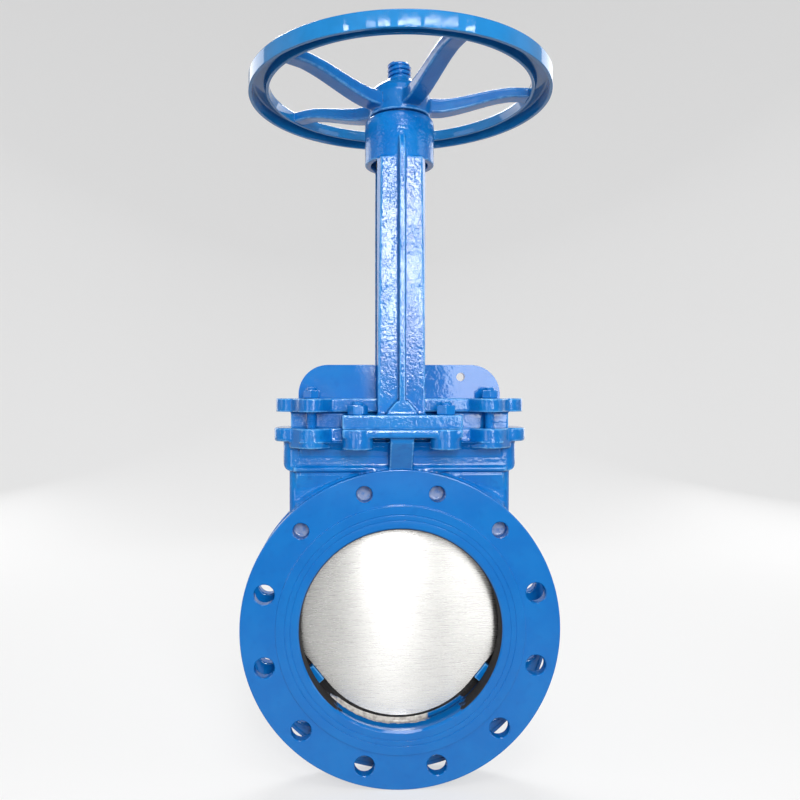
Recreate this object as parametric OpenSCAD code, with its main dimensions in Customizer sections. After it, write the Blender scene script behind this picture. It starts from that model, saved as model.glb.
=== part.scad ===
// Knife gate valve, flanged, with a rising stem and a handwheel.
// The bore runs along Y, the stem along Z, and the origin is the centre of the front flange face.

/* [Bore and flanges] */
// Diameter of the flow port
port_d = 255; // [245:1:262]
// Distance between the two flange faces
face_to_face = 70; // [68:1:84]
// Outer diameter of both flanges
flange_d = 405; // [395:1:440]
// Thickness of each flange, with its raised face
flange_t = 16; // [14:1:18]
// Distance from the bolt circle in to the edge of the raised face
raised_face_in = 20; // [17:1:26]
// Height of the raised sealing face
raised_face_h = 2; // [1:0.5:3]
// Distance from the bolt circle out to the flange's rim
bolt_edge = 25; // [20:1:28]
// Number of bolt places on the circle
bolt_places = 12; // [12:4:12]
// Diameter of the open bolt holes
bolt_hole_d = 26; // [18:1:27]
// Diameter of the blind tapped holes
tapped_hole_d = 21; // [16:1:22]
// Depth of the blind tapped holes
tapped_hole_depth = 20; // [12:1:22]
// Chamfer on the rim of the port
port_chamfer = 2.5; // [1:0.5:4]
// Distance of the outer turned groove from the raised face's edge
outer_groove_in = 11.5; // [8:0.5:13]
// Distance of the inner turned groove from the raised face's edge
inner_groove_in = 18.5; // [16:0.5:21]
// Width of the turned grooves
groove_w = 1.2; // [0.6:0.2:2]
// Depth of the turned grooves
groove_depth = 0.6; // [0.4:0.2:1]

/* [Body casting] */
// Wall of the chamber beside the gate
chamber_wall = 7; // [6:0.5:12]
// Thickness of the chamber, front to back
chamber_t = 36; // [32:1:37]
// Height of the chamber's top above the rim of the flange
chamber_rise = 3.5; // [2:0.5:9]
// Step of the neck outside the chamber on each side
neck_step = 7.5; // [5:0.5:10]
// Thickness of the neck, front to back
neck_t = 46; // [44:1:50]
// Rounding of the neck's lower corners
neck_corner_r = 10; // [6:1:12]
// Height of the stuffing box
box_h = 49; // [46:1:56]
// Thickness of the stuffing box flange
box_flange_t = 17; // [14:1:20]
// Distance the stuffing box flange stands out beside the neck
box_flange_out = 11; // [9:1:16]
// Depth of the stuffing box flange, front to back
box_flange_depth = 66; // [60:1:72]
// Wall of the stuffing box at each end of the packing
box_wall = 9.5; // [8:0.5:12]
// Radius of the lobes round the gland studs
lobe_r = 19; // [16:1:22]
// Width of a lobe where it leaves the plate
lobe_base_w = 55; // [46:1:60]
// Depth of the lobes under the flange
lobe_drop = 8; // [4:1:12]
// Width of the rib in the middle of the neck
neck_rib_w = 29; // [20:1:34]
// Radius of the hollow under the flange
cove_r = 30; // [24:1:32]
// Distance the neck reaches down over the chamber
neck_overlap = 6; // [4:1:9]
// Rounding of the neck's upright edges
neck_edge_r = 14; // [8:1:18]
// Rounding of the chamber's upright edges
chamber_edge_r = 9; // [4:1:12]
// Radius of the bead along the bottom of the neck
bead_r = 3.5; // [2:0.5:5]
// Distance the ledge on top of the chamber stands out
ledge_out = 3.5; // [2:0.5:5]
// Radius of the hollow between the flange's rim and the chamber
rim_fillet_r = 9; // [4:1:12]

/* [Gate] */
// Distance the gate reaches past the port on each side
gate_side = 2.5; // [1:0.5:4]
// Thickness of the gate plate
gate_t = 12; // [10:1:14]
// Gap between the gate's round tip and the port's wall
gate_tip_gap = 8.5; // [6:0.5:10.5]
// Distance of the gate's corner cuts in from its sides
corner_cut = 38; // [30:1:42]
// Height of the gate's corner cuts
corner_cut_h = 47; // [44:0.5:50]
// Height of the gate's top edge above the stuffing box, closed
gate_stand = 80; // [76:1:84]
// Radius of the gate's upper corners
gate_corner_r = 38; // [20:1:44]
// Diameter of the lifting hole in the gate
lifting_hole_d = 11; // [8:1:16]
// Clearance between gate plate and chamber on each face
slot_clearance = 2; // [1.5:0.5:3]
// Clearance between gate plate and gland on each side
gland_clearance = 0.6; // [0.4:0.1:1]
// Lift of the gate from closed to open
gate_lift = 246; // [240:6:246]

/* [Seat] */
// Width of the seat ring, inside to outside
seat_w = 14.5; // [12:0.5:17]
// Thickness of the seat ring, front to back
seat_t = 5; // [4:0.5:8]
// Thickness of the retaining ring behind the seat
retainer_t = 9; // [6:1:12]

/* [Gland] */
// Distance from the stuffing box top to the gland plate
gland_rise = 20; // [14:1:26]
// Thickness of the gland plate
gland_t = 17; // [14:1:20]
// Distance the gland plate stands back from the stuffing box flange on each side
gland_in = 1.5; // [0:0.5:3]
// Depth of the gland plate between its lobes, front to back
gland_depth = 50; // [46:1:56]
// Diameter of the gland studs
gland_stud_d = 12; // [10:1:14]
// Distance of the gland studs in from the side of the flange
gland_stud_in = 48; // [42:1:52]
// Distance of the gland studs from the middle, front to back
gland_stud_y = 31; // [29:1:32]
// Number of packing rings
packing_rings_n = 3; // [2:1:3]
// Height of each packing ring
packing_h = 9.5; // [8:0.5:10]

/* [Yoke] */
// Width of the yoke foot
foot_w = 147; // [140:1:160]
// Thickness of the yoke foot
foot_t = 17; // [14:1:20]
// Depth of the yoke foot, front to back
foot_depth = 34; // [32:1:40]
// Distance of the foot studs from the middle, sideways
foot_stud_x = 54.5; // [50:0.5:56]
// Distance of the foot studs in front of the yoke leg
foot_stud_out = 6; // [5:0.5:8]
// Diameter of the foot studs
foot_stud_d = 14; // [12:1:16]
// Half distance between the outer faces of the two legs
leg_reach = 44; // [41:1:44]
// Thickness of the leg's plate
leg_t = 12; // [8:1:13]
// Width of the leg's inner face
leg_inner_w = 61; // [56:1:66]
// Width of the leg's outer face at the foot
leg_foot_w = 58.5; // [54:0.5:60]
// Width of the leg's outer face at the cap
leg_head_w = 51; // [44:1:54]
// Thickness of the rib on the leg
rib_t = 7; // [5:0.5:10]
// Depth of the rib on the leg
rib_depth = 13; // [10:1:16]
// Diameter of the yoke cap
cap_d = 89; // [84:1:96]
// Clearance between the lifted gate and the yoke cap
cap_clearance = 10; // [10:1:16]
// Height of the cap
cap_h = 59; // [54:1:64]
// Rounding of the cap's top edge
cap_round_r = 9; // [4:1:12]

/* [Stem] */
// Outer diameter of the stem thread
stem_d = 30; // [26:1:32]
// Pitch of the stem thread
stem_pitch = 6; // [5:1:7]
// Depth of the stem thread
thread_depth = 3; // [2:0.5:3.5]
// Length of stem that stands out of the handwheel, closed
stem_out = 21; // [16:1:30]
// Width of the fork that holds the gate
fork_w = 44; // [42:1:50]
// Depth of the fork, front to back
fork_depth = 30; // [28:1:34]
// Diameter of the bolts through the fork
fork_bolt_d = 8; // [6:1:8]

/* [Handwheel] */
// Outer diameter of the handwheel
wheel_d = 385; // [360:1:400]
// Width of the rim, inside to outside
rim_w = 26; // [22:1:30]
// Height of the rim
rim_h = 19; // [16:1:22]
// Height of the rim's outer lip above the yoke cap
rim_rise = 25; // [22:1:30]
// Thickness of the rim's walls
rim_wall = 6; // [4:0.5:7]
// Number of spokes
spokes = 5; // [4:1:6]
// Width of a spoke at the hub
spoke_hub_w = 25; // [20:1:32]
// Width of a spoke at the rim
spoke_rim_w = 21; // [16:1:28]
// Height of a spoke at the hub
spoke_hub_h = 18; // [14:1:20]
// Height of a spoke at the rim
spoke_rim_h = 13; // [10:1:14]
// Diameter of the hub
hub_d = 80; // [70:1:86]
// Height of the hub's top above the yoke cap
hub_rise = 50; // [48:1:54]
// Outer diameter of the stem nut
nut_sleeve_d = 44; // [40:1:48]

/* [Hidden] */
$fn = 96;

paint = [0.04, 0.45, 0.85];
steel = [0.75, 0.76, 0.78];
bronze = [0.72, 0.55, 0.3];
rubber = [0.08, 0.08, 0.09];

eps = 0.01;
through = 1;
mid = face_to_face / 2;

// Bolt circle and raised face follow the flange
bolt_circle_d = flange_d - 2 * bolt_edge;
raised_face_d = bolt_circle_d - 2 * raised_face_in;
outer_groove_d = raised_face_d - 2 * outer_groove_in;
inner_groove_d = raised_face_d - 2 * inner_groove_in;

// Gate and seat follow the port
gate_w = port_d + 2 * gate_side;
gate_tip_r = port_d / 2 - gate_tip_gap;
seat_inner_d = port_d - 2 * seat_w;
mirror_choices = [0, 1];

// Chamber and gate slot
slot_side = 4.5;
slot_half = gate_w / 2 + slot_side;
slot_t = gate_t + 2 * slot_clearance;
chamber_half = slot_half + chamber_wall;
chamber_top = flange_d / 2 + chamber_rise;
neck_bottom = chamber_top - neck_overlap;
chamber_edge_from = 70;
ledge_slope_h = 17;
neck_w = 2 * (chamber_half + neck_step);
bolt_step = 360 / bolt_places;
// The two bolt places on each side of the top that meet the chamber wall
blind_angles = [bolt_step / 2, bolt_step * 1.5];

// Stuffing box
box_top = chamber_top + box_h;
box_flange_w = neck_w + 2 * box_flange_out;
box_flange_bottom = box_top - box_flange_t;
gland_w = box_flange_w - 2 * gland_in;
gland_stud_x = box_flange_w / 2 - gland_stud_in;
packing_wall = 10;
box_cavity_half = neck_w / 2 - box_wall;
box_cavity_t = gate_t + 2 * packing_wall;
box_floor = chamber_top;
packing_gap = 0.2;
packing_top = box_floor + packing_rings_n * packing_h;
gland_bottom = box_top + gland_rise;
gland_top = gland_bottom + gland_t;
stud_embed = 25;
corner_r = 18;

// Nuts, as a share of the thread diameter
nut_across_flats = 1.58;
nut_height = 0.85;

// Yoke
foot_bottom = box_top;
foot_top = foot_bottom + foot_t;
leg_front = mid - leg_reach;
foot_back = leg_front + leg_t + 2;
foot_stud_y = leg_front - foot_stud_out;
ear_drop = 11;
ear_boss_r = 19;
ear_boss_drop = 25.5;
ear_reach = 2;
gusset_h = 17;
gusset_half = 18;
gate_top = box_top + gate_stand;
cap_bottom = gate_top + gate_lift + cap_clearance;
cap_top = cap_bottom + cap_h;
collar_d = 60;
collar_t = 6;
collar_recess = 9;
collar_recess_d = 72;
run_gap = 0.05;
face_gap = 0.3;
washer_h = 1.5;

// Gate and stem
gate_bevel = 4;
chamfer_half_w = gate_w / 2 - corner_cut;
chamfer_top = corner_cut_h - sqrt(gate_tip_r ^ 2 - chamfer_half_w ^ 2);
fork_bottom = gate_top - 33;
fork_top = gate_top + 2;
notch_half = 17;
notch_bottom = gate_top - 16;
stem_seat = gate_top - 13;
fork_bolt_z = gate_top - 25;
fork_bolt_x = 12;
lifting_hole_x = 79;
lifting_hole_down = 15.5;

// Handwheel
hub_bottom = cap_top + washer_h + face_gap;
hub_top = cap_top + hub_rise;
stem_top = hub_top + stem_out;
rim_bottom = cap_top + rim_rise;
rim_top = rim_bottom + rim_h;
rim_inner_lift = 4;
spoke_hub_z = hub_bottom + 15;
spoke_rise_start = hub_d / 2 + 12;
spoke_rise_end = wheel_d / 2 - 46;

// Extrudes an outline drawn in X and Z from one Y to another
module along_y(y0, y1) {
    translate([0, y1, 0]) rotate([90, 0, 0]) linear_extrude(y1 - y0) children();
}

// Extrudes an outline drawn in Y and Z, centred on X
module along_x(width) {
    translate([-width / 2, 0, 0]) rotate([90, 0, 90]) linear_extrude(width) children();
}

// Cylinder along Y from one Y to another
module rod_y(d, y0, y1) {
    translate([0, y0, 0]) rotate([-90, 0, 0]) cylinder(d = d, h = y1 - y0);
}

// Draws its children at the front and mirrored at the back
module front_and_back() {
    for (side = mirror_choices) translate([0, mid, 0]) mirror([0, side, 0]) translate([0, -mid, 0]) children();
}

// Draws its children on the right and mirrored on the left
module both_sides() {
    for (side = mirror_choices) mirror([side, 0, 0]) children();
}

// Rectangle with round corners, centred
module rounded_rect(w, h, r) {
    square([w - 2 * r, h], center = true);
    square([w, h - 2 * r], center = true);
    for (x = [-1, 1], y = [-1, 1]) translate([x * (w / 2 - r), y * (h / 2 - r)]) circle(r);
}

// Half-round pocket outline: straight sides above the axis, a half circle below
module tongue(half, top) {
    circle(half);
    translate([-half, 0]) square([2 * half, top]);
}

module hex_nut(d) {
    difference() {
        cylinder(d = d * nut_across_flats / cos(30), h = d * nut_height, $fn = 6);
        translate([0, 0, -through]) cylinder(d = d, h = d * nut_height + 2 * through);
    }
}

// ---- Body casting ----

module flange_disc() {
    rod_y(raised_face_d, 0, raised_face_h + eps);
    rod_y(flange_d, raised_face_h, flange_t);
}

module face_groove(d) {
    translate([0, -through, 0]) rotate([-90, 0, 0]) difference() {
        cylinder(d = d + groove_w, h = groove_depth + through);
        translate([0, 0, -through]) cylinder(d = d - groove_w, h = groove_depth + 3 * through);
    }
}

module neck() {
    intersection() {
        along_y(mid - neck_t / 2, mid + neck_t / 2) {
            translate([0, (neck_bottom + box_flange_bottom + neck_corner_r) / 2])
                rounded_rect(neck_w, box_flange_bottom - neck_bottom + neck_corner_r, neck_corner_r);
        }
        translate([0, mid, neck_bottom - eps]) linear_extrude(box_h) rounded_rect(neck_w, neck_t, neck_edge_r);
    }
}

// What is cut off an upright edge to round it: the edge is the Z axis, the metal lies at -X and +Y
module edge_cut(r, h) {
    linear_extrude(h) difference() {
        translate([-r, -through]) square(r + through);
        translate([-r, r]) circle(r);
    }
}

module chamber() {
    difference() {
        along_y(mid - chamber_t / 2, mid + chamber_t / 2) tongue(chamber_half, chamber_top);
        front_and_back() both_sides() translate([chamber_half, mid - chamber_t / 2, chamber_edge_from])
            edge_cut(chamber_edge_r, chamber_top - chamber_edge_from + through);
    }
}

// Hollow between the rim's top and the chamber's wall behind it
module rim_fillet() {
    wall_y = mid - chamber_t / 2;
    half = chamber_half - chamber_edge_r;
    intersection() {
        rotate([-90, 0, 0]) rotate_extrude() difference() {
            translate([flange_d / 2 - 1, wall_y - rim_fillet_r]) square([rim_fillet_r + 1, rim_fillet_r + eps]);
            translate([flange_d / 2 + rim_fillet_r, wall_y - rim_fillet_r]) circle(rim_fillet_r);
        }
        translate([-half, 0, chamber_edge_from]) cube([2 * half, mid, neck_bottom - chamber_edge_from + eps]);
    }
}

// Outline of one lobe, seen from above: round at the stud, wider at the plate
module lobe_plan(r, base_y) {
    translate([gland_stud_x, gland_stud_y]) circle(r);
    polygon([[gland_stud_x - lobe_base_w / 2, base_y - 6], [gland_stud_x - lobe_base_w / 2, base_y],
        [gland_stud_x - r * 0.8, gland_stud_y + r * 0.6], [gland_stud_x + r * 0.8, gland_stud_y + r * 0.6],
        [gland_stud_x + lobe_base_w / 2, base_y], [gland_stud_x + lobe_base_w / 2, base_y - 6]]);
}

module four_lobes(r, base_y) {
    for (x = mirror_choices, y = mirror_choices) mirror([x, 0]) mirror([0, y]) lobe_plan(r, base_y);
}

module box_flange_plan() {
    rounded_rect(box_flange_w, box_flange_depth, corner_r);
    four_lobes(lobe_r + 1, box_flange_depth / 2 - 4);
}

module stud_lobe() {
    translate([0, mid, box_flange_bottom - lobe_drop]) mirror([0, 1, 0])
        linear_extrude(box_flange_t + lobe_drop) lobe_plan(lobe_r + 1, box_flange_depth / 2 - 4);
}

module yoke_ear() {
    translate([-foot_w / 2, leg_front - foot_depth + leg_t + 2 - ear_reach, box_top - ear_drop])
        cube([foot_w, foot_depth + ear_reach, ear_drop]);
    both_sides() translate([foot_stud_x, foot_stud_y, box_top - ear_boss_drop])
        cylinder(r = ear_boss_r, h = ear_boss_drop);
}

module cove() {
    reach = gland_stud_x + lobe_r * 0.8;
    difference() {
        along_x(2 * reach) {
            translate([mid - neck_t / 2 - cove_r + 2, box_flange_bottom - cove_r])
                square([cove_r, cove_r + eps]);
        }
        translate([-reach - through, mid - neck_t / 2 - cove_r + 2, box_flange_bottom - cove_r])
            rotate([0, 90, 0]) cylinder(r = cove_r, h = 2 * reach + 2 * through);
    }
}

module neck_rib() {
    along_x(neck_rib_w) polygon([
        [mid - neck_t / 2 + 6, chamber_top - 12],
        [mid - neck_t / 2 + 6, box_top - ear_drop + eps],
        [leg_front - foot_depth + leg_t + 8, box_top - ear_drop + eps],
        [leg_front - foot_depth + leg_t + 8, box_flange_bottom],
        [3, chamber_top - 2],
        [flange_t - 1, chamber_top - 8]]);
}

// Half-round bead along the bottom of the neck
module bead() {
    half = neck_w / 2 - neck_edge_r;
    translate([-half, mid - neck_t / 2, neck_bottom + bead_r - 1]) rotate([0, 90, 0])
        cylinder(r = bead_r, h = 2 * half);
}

// Ledge along the top of the chamber's wall, round above and sloping back below
module chamber_ledge() {
    wall_y = mid - chamber_t / 2;
    crest_z = neck_bottom - ledge_out - 2;
    along_x(2 * (chamber_half - chamber_edge_r)) {
        translate([wall_y, crest_z]) circle(ledge_out);
        polygon([[wall_y - ledge_out, crest_z], [wall_y, crest_z - ledge_slope_h], [wall_y + 2, crest_z - ledge_slope_h],
            [wall_y + 2, crest_z]]);
    }
}

module body_holes() {
    for (i = [0:bolt_places - 1]) {
        angle = (i + 0.5) * bolt_step;
        blind = min(angle, 360 - angle) <= max(blind_angles) + eps;
        rotate([0, angle, 0]) translate([0, 0, bolt_circle_d / 2]) {
            if (blind) {
                front_and_back() rod_y(tapped_hole_d, -through, tapped_hole_depth);
            } else {
                rod_y(bolt_hole_d, -through, face_to_face + through);
            }
        }
    }
}

module port() {
    rod_y(port_d, -through, face_to_face + through);
    front_and_back() translate([0, -eps, 0]) rotate([-90, 0, 0])
        cylinder(d1 = port_d + 2 * port_chamfer, d2 = port_d, h = port_chamfer);
}

module body_casting() {
    color(paint) difference() {
        union() {
            front_and_back() flange_disc();
            chamber();
            front_and_back() rod_y(port_d + 2 * chamber_wall + 14, flange_t - eps, mid);
            neck();
            translate([0, mid, box_flange_bottom]) linear_extrude(box_flange_t) box_flange_plan();
            front_and_back() {
                both_sides() stud_lobe();
                yoke_ear();
                cove();
                neck_rib();
                bead();
                chamber_ledge();
                rim_fillet();
            }
        }
        along_y(mid - slot_t / 2, mid + slot_t / 2) tongue(slot_half, box_top + through);
        translate([-box_cavity_half, mid - box_cavity_t / 2, box_floor])
            cube([2 * box_cavity_half, box_cavity_t, box_top - box_floor + through]);
        port();
        body_holes();
        front_and_back() {
            face_groove(outer_groove_d);
            face_groove(inner_groove_d);
        }
        front_and_back() both_sides() {
            translate([gland_stud_x, mid - gland_stud_y, box_top - stud_embed])
                cylinder(d = gland_stud_d, h = stud_embed + through);
            translate([foot_stud_x, foot_stud_y, box_top - stud_embed])
                cylinder(d = foot_stud_d, h = stud_embed + through);
        }
    }
}

// ---- Lugs that press the closed gate home ----

module wedge() {
    lug_w = 23;
    lug_gap = 1;
    slope = atan2(chamfer_top + sqrt(gate_tip_r ^ 2 - chamfer_half_w ^ 2), gate_w / 2 - chamfer_half_w);
    centre = [(chamfer_half_w + gate_w / 2) / 2, (chamfer_top - sqrt(gate_tip_r ^ 2 - chamfer_half_w ^ 2)) / 2];
    color(paint) along_y(mid - slot_t / 2, mid + gate_t / 2) intersection() {
        circle(slot_half);
        translate(centre) rotate(slope) translate([-lug_w, -lug_gap - 40]) square([lug_w, 40]);
    }
}

// ---- Seat ----

module ring_y(inner_d, outer_d, y0, y1) {
    difference() {
        rod_y(outer_d, y0, y1);
        rod_y(inner_d, y0 - through, y1 + through);
    }
}

module seat_ring() {
    color(rubber) ring_y(seat_inner_d, port_d, mid + gate_t / 2 + face_gap, mid + gate_t / 2 + face_gap + seat_t);
}

module seat_retainer() {
    color(steel) ring_y(seat_inner_d + 6, port_d, mid + gate_t / 2 + face_gap + seat_t,
        mid + gate_t / 2 + face_gap + seat_t + retainer_t);
}

// ---- Gland and packing ----

module gate_window(z0, z1) {
    clear_w = gate_w + 2 * gland_clearance;
    clear_t = gate_t + 2 * gland_clearance;
    translate([-clear_w / 2, mid - clear_t / 2, z0]) cube([clear_w, clear_t, z1 - z0]);
}

module packing_rings() {
    outer_w = 2 * box_cavity_half - 2 * packing_gap;
    outer_t = box_cavity_t - 2 * packing_gap;
    color(rubber) for (i = [0:packing_rings_n - 1]) difference() {
        translate([-outer_w / 2, mid - outer_t / 2, box_floor + i * packing_h + (i > 0 ? packing_gap : 0)])
            cube([outer_w, outer_t, packing_h - (i > 0 ? packing_gap : 0)]);
        gate_window(box_floor - through, packing_top + through);
    }
}

module gland() {
    skirt_w = 2 * box_cavity_half - 2 * packing_gap;
    skirt_t = box_cavity_t - 2 * packing_gap;
    color(paint) difference() {
        union() {
            translate([0, mid, gland_bottom]) linear_extrude(gland_t) {
                rounded_rect(gland_w, gland_depth, corner_r);
                four_lobes(lobe_r - 1, gland_depth / 2 - 4);
            }
            translate([-skirt_w / 2, mid - skirt_t / 2, packing_top])
                cube([skirt_w, skirt_t, gland_bottom - packing_top + eps]);
        }
        gate_window(packing_top - through, gland_top + through);
        for (x = [-1, 1], y = [-1, 1]) translate([x * gland_stud_x, mid + y * gland_stud_y, gland_bottom - through])
            cylinder(d = gland_stud_d + 1.5, h = gland_t + 2 * through);
    }
}

// Signs of the four stud corners, in the order of the node numbers
corners = [[-1, -1], [1, -1], [-1, 1], [1, 1]];

module gland_stud(i) {
    nut_top = gland_top + gland_stud_d * nut_height;
    color(paint) translate([corners[i][0] * gland_stud_x, mid + corners[i][1] * gland_stud_y, box_top - stud_embed])
        cylinder(d = gland_stud_d, h = nut_top + 4 - box_top + stud_embed);
}

module gland_nut(i) {
    color(paint) translate([corners[i][0] * gland_stud_x, mid + corners[i][1] * gland_stud_y, gland_top])
        hex_nut(gland_stud_d);
}

// ---- Yoke ----

module leg_section(outer_w) {
    polygon([[-outer_w / 2, leg_front], [outer_w / 2, leg_front],
        [leg_inner_w / 2, leg_front + leg_t], [-leg_inner_w / 2, leg_front + leg_t]]);
}

module yoke_leg() {
    hull() {
        translate([0, 0, foot_top - 1]) linear_extrude(1) leg_section(leg_foot_w);
        translate([0, 0, cap_bottom - 1]) linear_extrude(1) leg_section(leg_head_w);
    }
    along_x(rib_t) polygon([
        [leg_front + 1, foot_top - 1],
        [leg_front + 8, cap_bottom + 26],
        [mid - cap_d / 2 + 0.3, cap_bottom + 28],
        [leg_front - rib_depth + 3, cap_bottom + 14],
        [leg_front - rib_depth, cap_bottom + 8],
        [leg_front - rib_depth, foot_top - 1]]);
    along_y(leg_front - rib_depth, leg_front + eps) polygon([
        [-gusset_half, foot_top - 1], [gusset_half, foot_top - 1], [gusset_half, foot_top + 4],
        [rib_t / 2 + 3, foot_top + gusset_h], [-rib_t / 2 - 3, foot_top + gusset_h],
        [-gusset_half, foot_top + 4]]);
}

module yoke_foot() {
    translate([-foot_w / 2, foot_back - foot_depth, foot_bottom]) cube([foot_w, foot_depth, foot_t]);
}

module yoke_cap() {
    translate([0, mid, 0]) rotate_extrude() {
        translate([0, cap_bottom]) square([cap_d / 2, cap_h - cap_round_r]);
        translate([0, cap_bottom]) square([cap_d / 2 - cap_round_r, cap_h]);
        translate([cap_d / 2 - cap_round_r, cap_top - cap_round_r]) circle(cap_round_r);
    }
}

module yoke() {
    color(paint) difference() {
        union() {
            yoke_cap();
            front_and_back() {
                yoke_leg();
                yoke_foot();
            }
        }
        translate([0, mid, cap_bottom - through]) {
            cylinder(d = nut_sleeve_d + 2 * run_gap, h = cap_h + 2 * through);
            cylinder(d = collar_recess_d, h = collar_recess + through);
        }
        front_and_back() both_sides() translate([foot_stud_x, foot_stud_y, foot_bottom - through])
            cylinder(d = foot_stud_d + 1.5, h = foot_t + 2 * through);
    }
}

module foot_stud(i) {
    nut_top = foot_top + foot_stud_d * nut_height;
    y = mid + corners[i][1] * (mid - foot_stud_y);
    color(paint) translate([corners[i][0] * foot_stud_x, y, box_top - stud_embed])
        cylinder(d = foot_stud_d, h = nut_top + 4 - box_top + stud_embed);
}

module foot_nut(i) {
    y = mid + corners[i][1] * (mid - foot_stud_y);
    color(paint) translate([corners[i][0] * foot_stud_x, y, foot_top]) hex_nut(foot_stud_d);
}

module thrust_washer() {
    color(steel) translate([0, mid, cap_top]) difference() {
        cylinder(d = collar_d, h = washer_h);
        translate([0, 0, -through]) cylinder(d = nut_sleeve_d + 2 * face_gap, h = washer_h + 2 * through);
    }
}

// ---- Gate, stem and fork ----

module gate_outline() {
    tip_z = -sqrt(gate_tip_r ^ 2 - chamfer_half_w ^ 2);
    // The chamfer's line runs on a little way inside the round tip
    run_in = 0.06;
    inner = [chamfer_half_w - run_in * (gate_w / 2 - chamfer_half_w), tip_z - run_in * (chamfer_top - tip_z)];
    circle(gate_tip_r);
    polygon([[-inner[0], inner[1]], [inner[0], inner[1]], [gate_w / 2, chamfer_top],
        [gate_w / 2, gate_top - gate_corner_r], [-gate_w / 2, gate_top - gate_corner_r],
        [-gate_w / 2, chamfer_top]]);
    translate([-gate_w / 2 + gate_corner_r, gate_tip_r])
        square([gate_w - 2 * gate_corner_r, gate_top - gate_tip_r]);
    for (x = [-1, 1]) translate([x * (gate_w / 2 - gate_corner_r), gate_top - gate_corner_r])
        circle(gate_corner_r);
}

module gate_plate() {
    color(steel) difference() {
        along_y(mid - gate_t / 2, mid + gate_t / 2) gate_outline();
        translate([lifting_hole_x, 0, gate_top - lifting_hole_down]) rod_y(lifting_hole_d, mid - gate_t, mid + gate_t);
        translate([-notch_half, mid - gate_t, notch_bottom]) cube([2 * notch_half, 2 * gate_t, 40]);
        for (x = [-1, 1]) translate([x * fork_bolt_x, 0, fork_bolt_z])
            rod_y(fork_bolt_d, mid - gate_t, mid + gate_t);
    }
}

module stem_fork() {
    color(paint) difference() {
        translate([-fork_w / 2, mid - fork_depth / 2, fork_bottom])
            cube([fork_w, fork_depth, fork_top - fork_bottom]);
        difference() {
            translate([-fork_w, mid - gate_t / 2, fork_bottom - through])
                cube([2 * fork_w, gate_t, gate_top - fork_bottom + through]);
            translate([-notch_half, mid - gate_t, notch_bottom]) cube([2 * notch_half, 2 * gate_t, 40]);
        }
        translate([0, mid, stem_seat]) cylinder(d = stem_d, h = fork_top);
        for (x = [-1, 1]) translate([x * fork_bolt_x, 0, fork_bolt_z])
            rod_y(fork_bolt_d, mid - fork_depth, mid + fork_depth);
    }
}

module fork_bolt(side) {
    head_h = 5;
    tail = 8;
    color(steel) translate([side * fork_bolt_x, 0, fork_bolt_z]) {
        rod_y(fork_bolt_d, mid - fork_depth / 2, mid + fork_depth / 2 + tail);
        translate([0, mid - fork_depth / 2 - head_h, 0]) rotate([-90, 0, 0])
            cylinder(d = fork_bolt_d * nut_across_flats / cos(30), h = head_h, $fn = 6);
    }
}

module fork_nut(side) {
    color(steel) translate([side * fork_bolt_x, mid + fork_depth / 2, fork_bolt_z])
        rotate([-90, 0, 0]) hex_nut(fork_bolt_d);
}

// One thread form: a trapezoid tooth on the core, repeated up the stem
function thread_points(z0, turns) = [for (i = [0:turns - 1], p = [[0.15, 1], [0.35, 0], [0.65, 0], [0.85, 1]])
    [stem_d / 2 - thread_depth * (1 - p[1]), z0 + (i + p[0]) * stem_pitch]];

module stem() {
    thread_start = gate_top + 15;
    turns = floor((stem_top - 3 - thread_start) / stem_pitch);
    color(paint) translate([0, mid, 0]) rotate_extrude() polygon(concat(
        [[0, stem_seat], [stem_d / 2, stem_seat], [stem_d / 2, thread_start]],
        thread_points(thread_start, turns),
        [[stem_d / 2, stem_top - 2], [stem_d / 2 - 2, stem_top], [0, stem_top]]));
}

// ---- Stem nut and handwheel ----

module stem_nut() {
    color(bronze) translate([0, mid, 0]) difference() {
        union() {
            translate([0, 0, cap_bottom + 1]) cylinder(d = collar_d, h = collar_t);
            translate([0, 0, cap_bottom + 1]) cylinder(d = nut_sleeve_d, h = hub_top - cap_bottom - 8);
        }
        translate([0, 0, cap_bottom - through]) cylinder(d = stem_d + 2 * face_gap, h = hub_top);
    }
}

module hub_profile() {
    polygon([[0, hub_bottom], [hub_d / 2 - 1, hub_bottom], [hub_d / 2, hub_bottom + 1],
        [hub_d / 2, hub_top - 26], [hub_d / 2 - 2, hub_top - 17], [hub_d / 2 - 7, hub_top - 11],
        [hub_d / 2 - 14, hub_top - 6.5], [stem_d / 2 + 4, hub_top - 2.5], [stem_d / 2 + 1.5, hub_top], [0, hub_top]]);
}

module rim_profile() {
    outer = wheel_d / 2;
    inner = outer - rim_w;
    bevel = 3;
    polygon([[outer - bevel / 2, rim_bottom], [outer, rim_bottom + bevel], [outer, rim_top - 2 * bevel],
        [outer - bevel, rim_top - bevel / 2], [outer - 2 * bevel, rim_top], [inner + 2 * bevel, rim_top],
        [inner + bevel, rim_top - bevel / 2], [inner, rim_top - 2 * bevel], [inner, rim_bottom + rim_inner_lift + 1],
        [inner + 1, rim_bottom + rim_inner_lift], [inner + rim_wall - 1, rim_bottom + rim_inner_lift],
        [inner + rim_wall, rim_top - rim_wall - 2], [inner + rim_wall + 2, rim_top - rim_wall],
        [outer - rim_wall - 2, rim_top - rim_wall], [outer - rim_wall, rim_top - rim_wall - 2],
        [outer - rim_wall + 1, rim_bottom]]);
}

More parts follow.
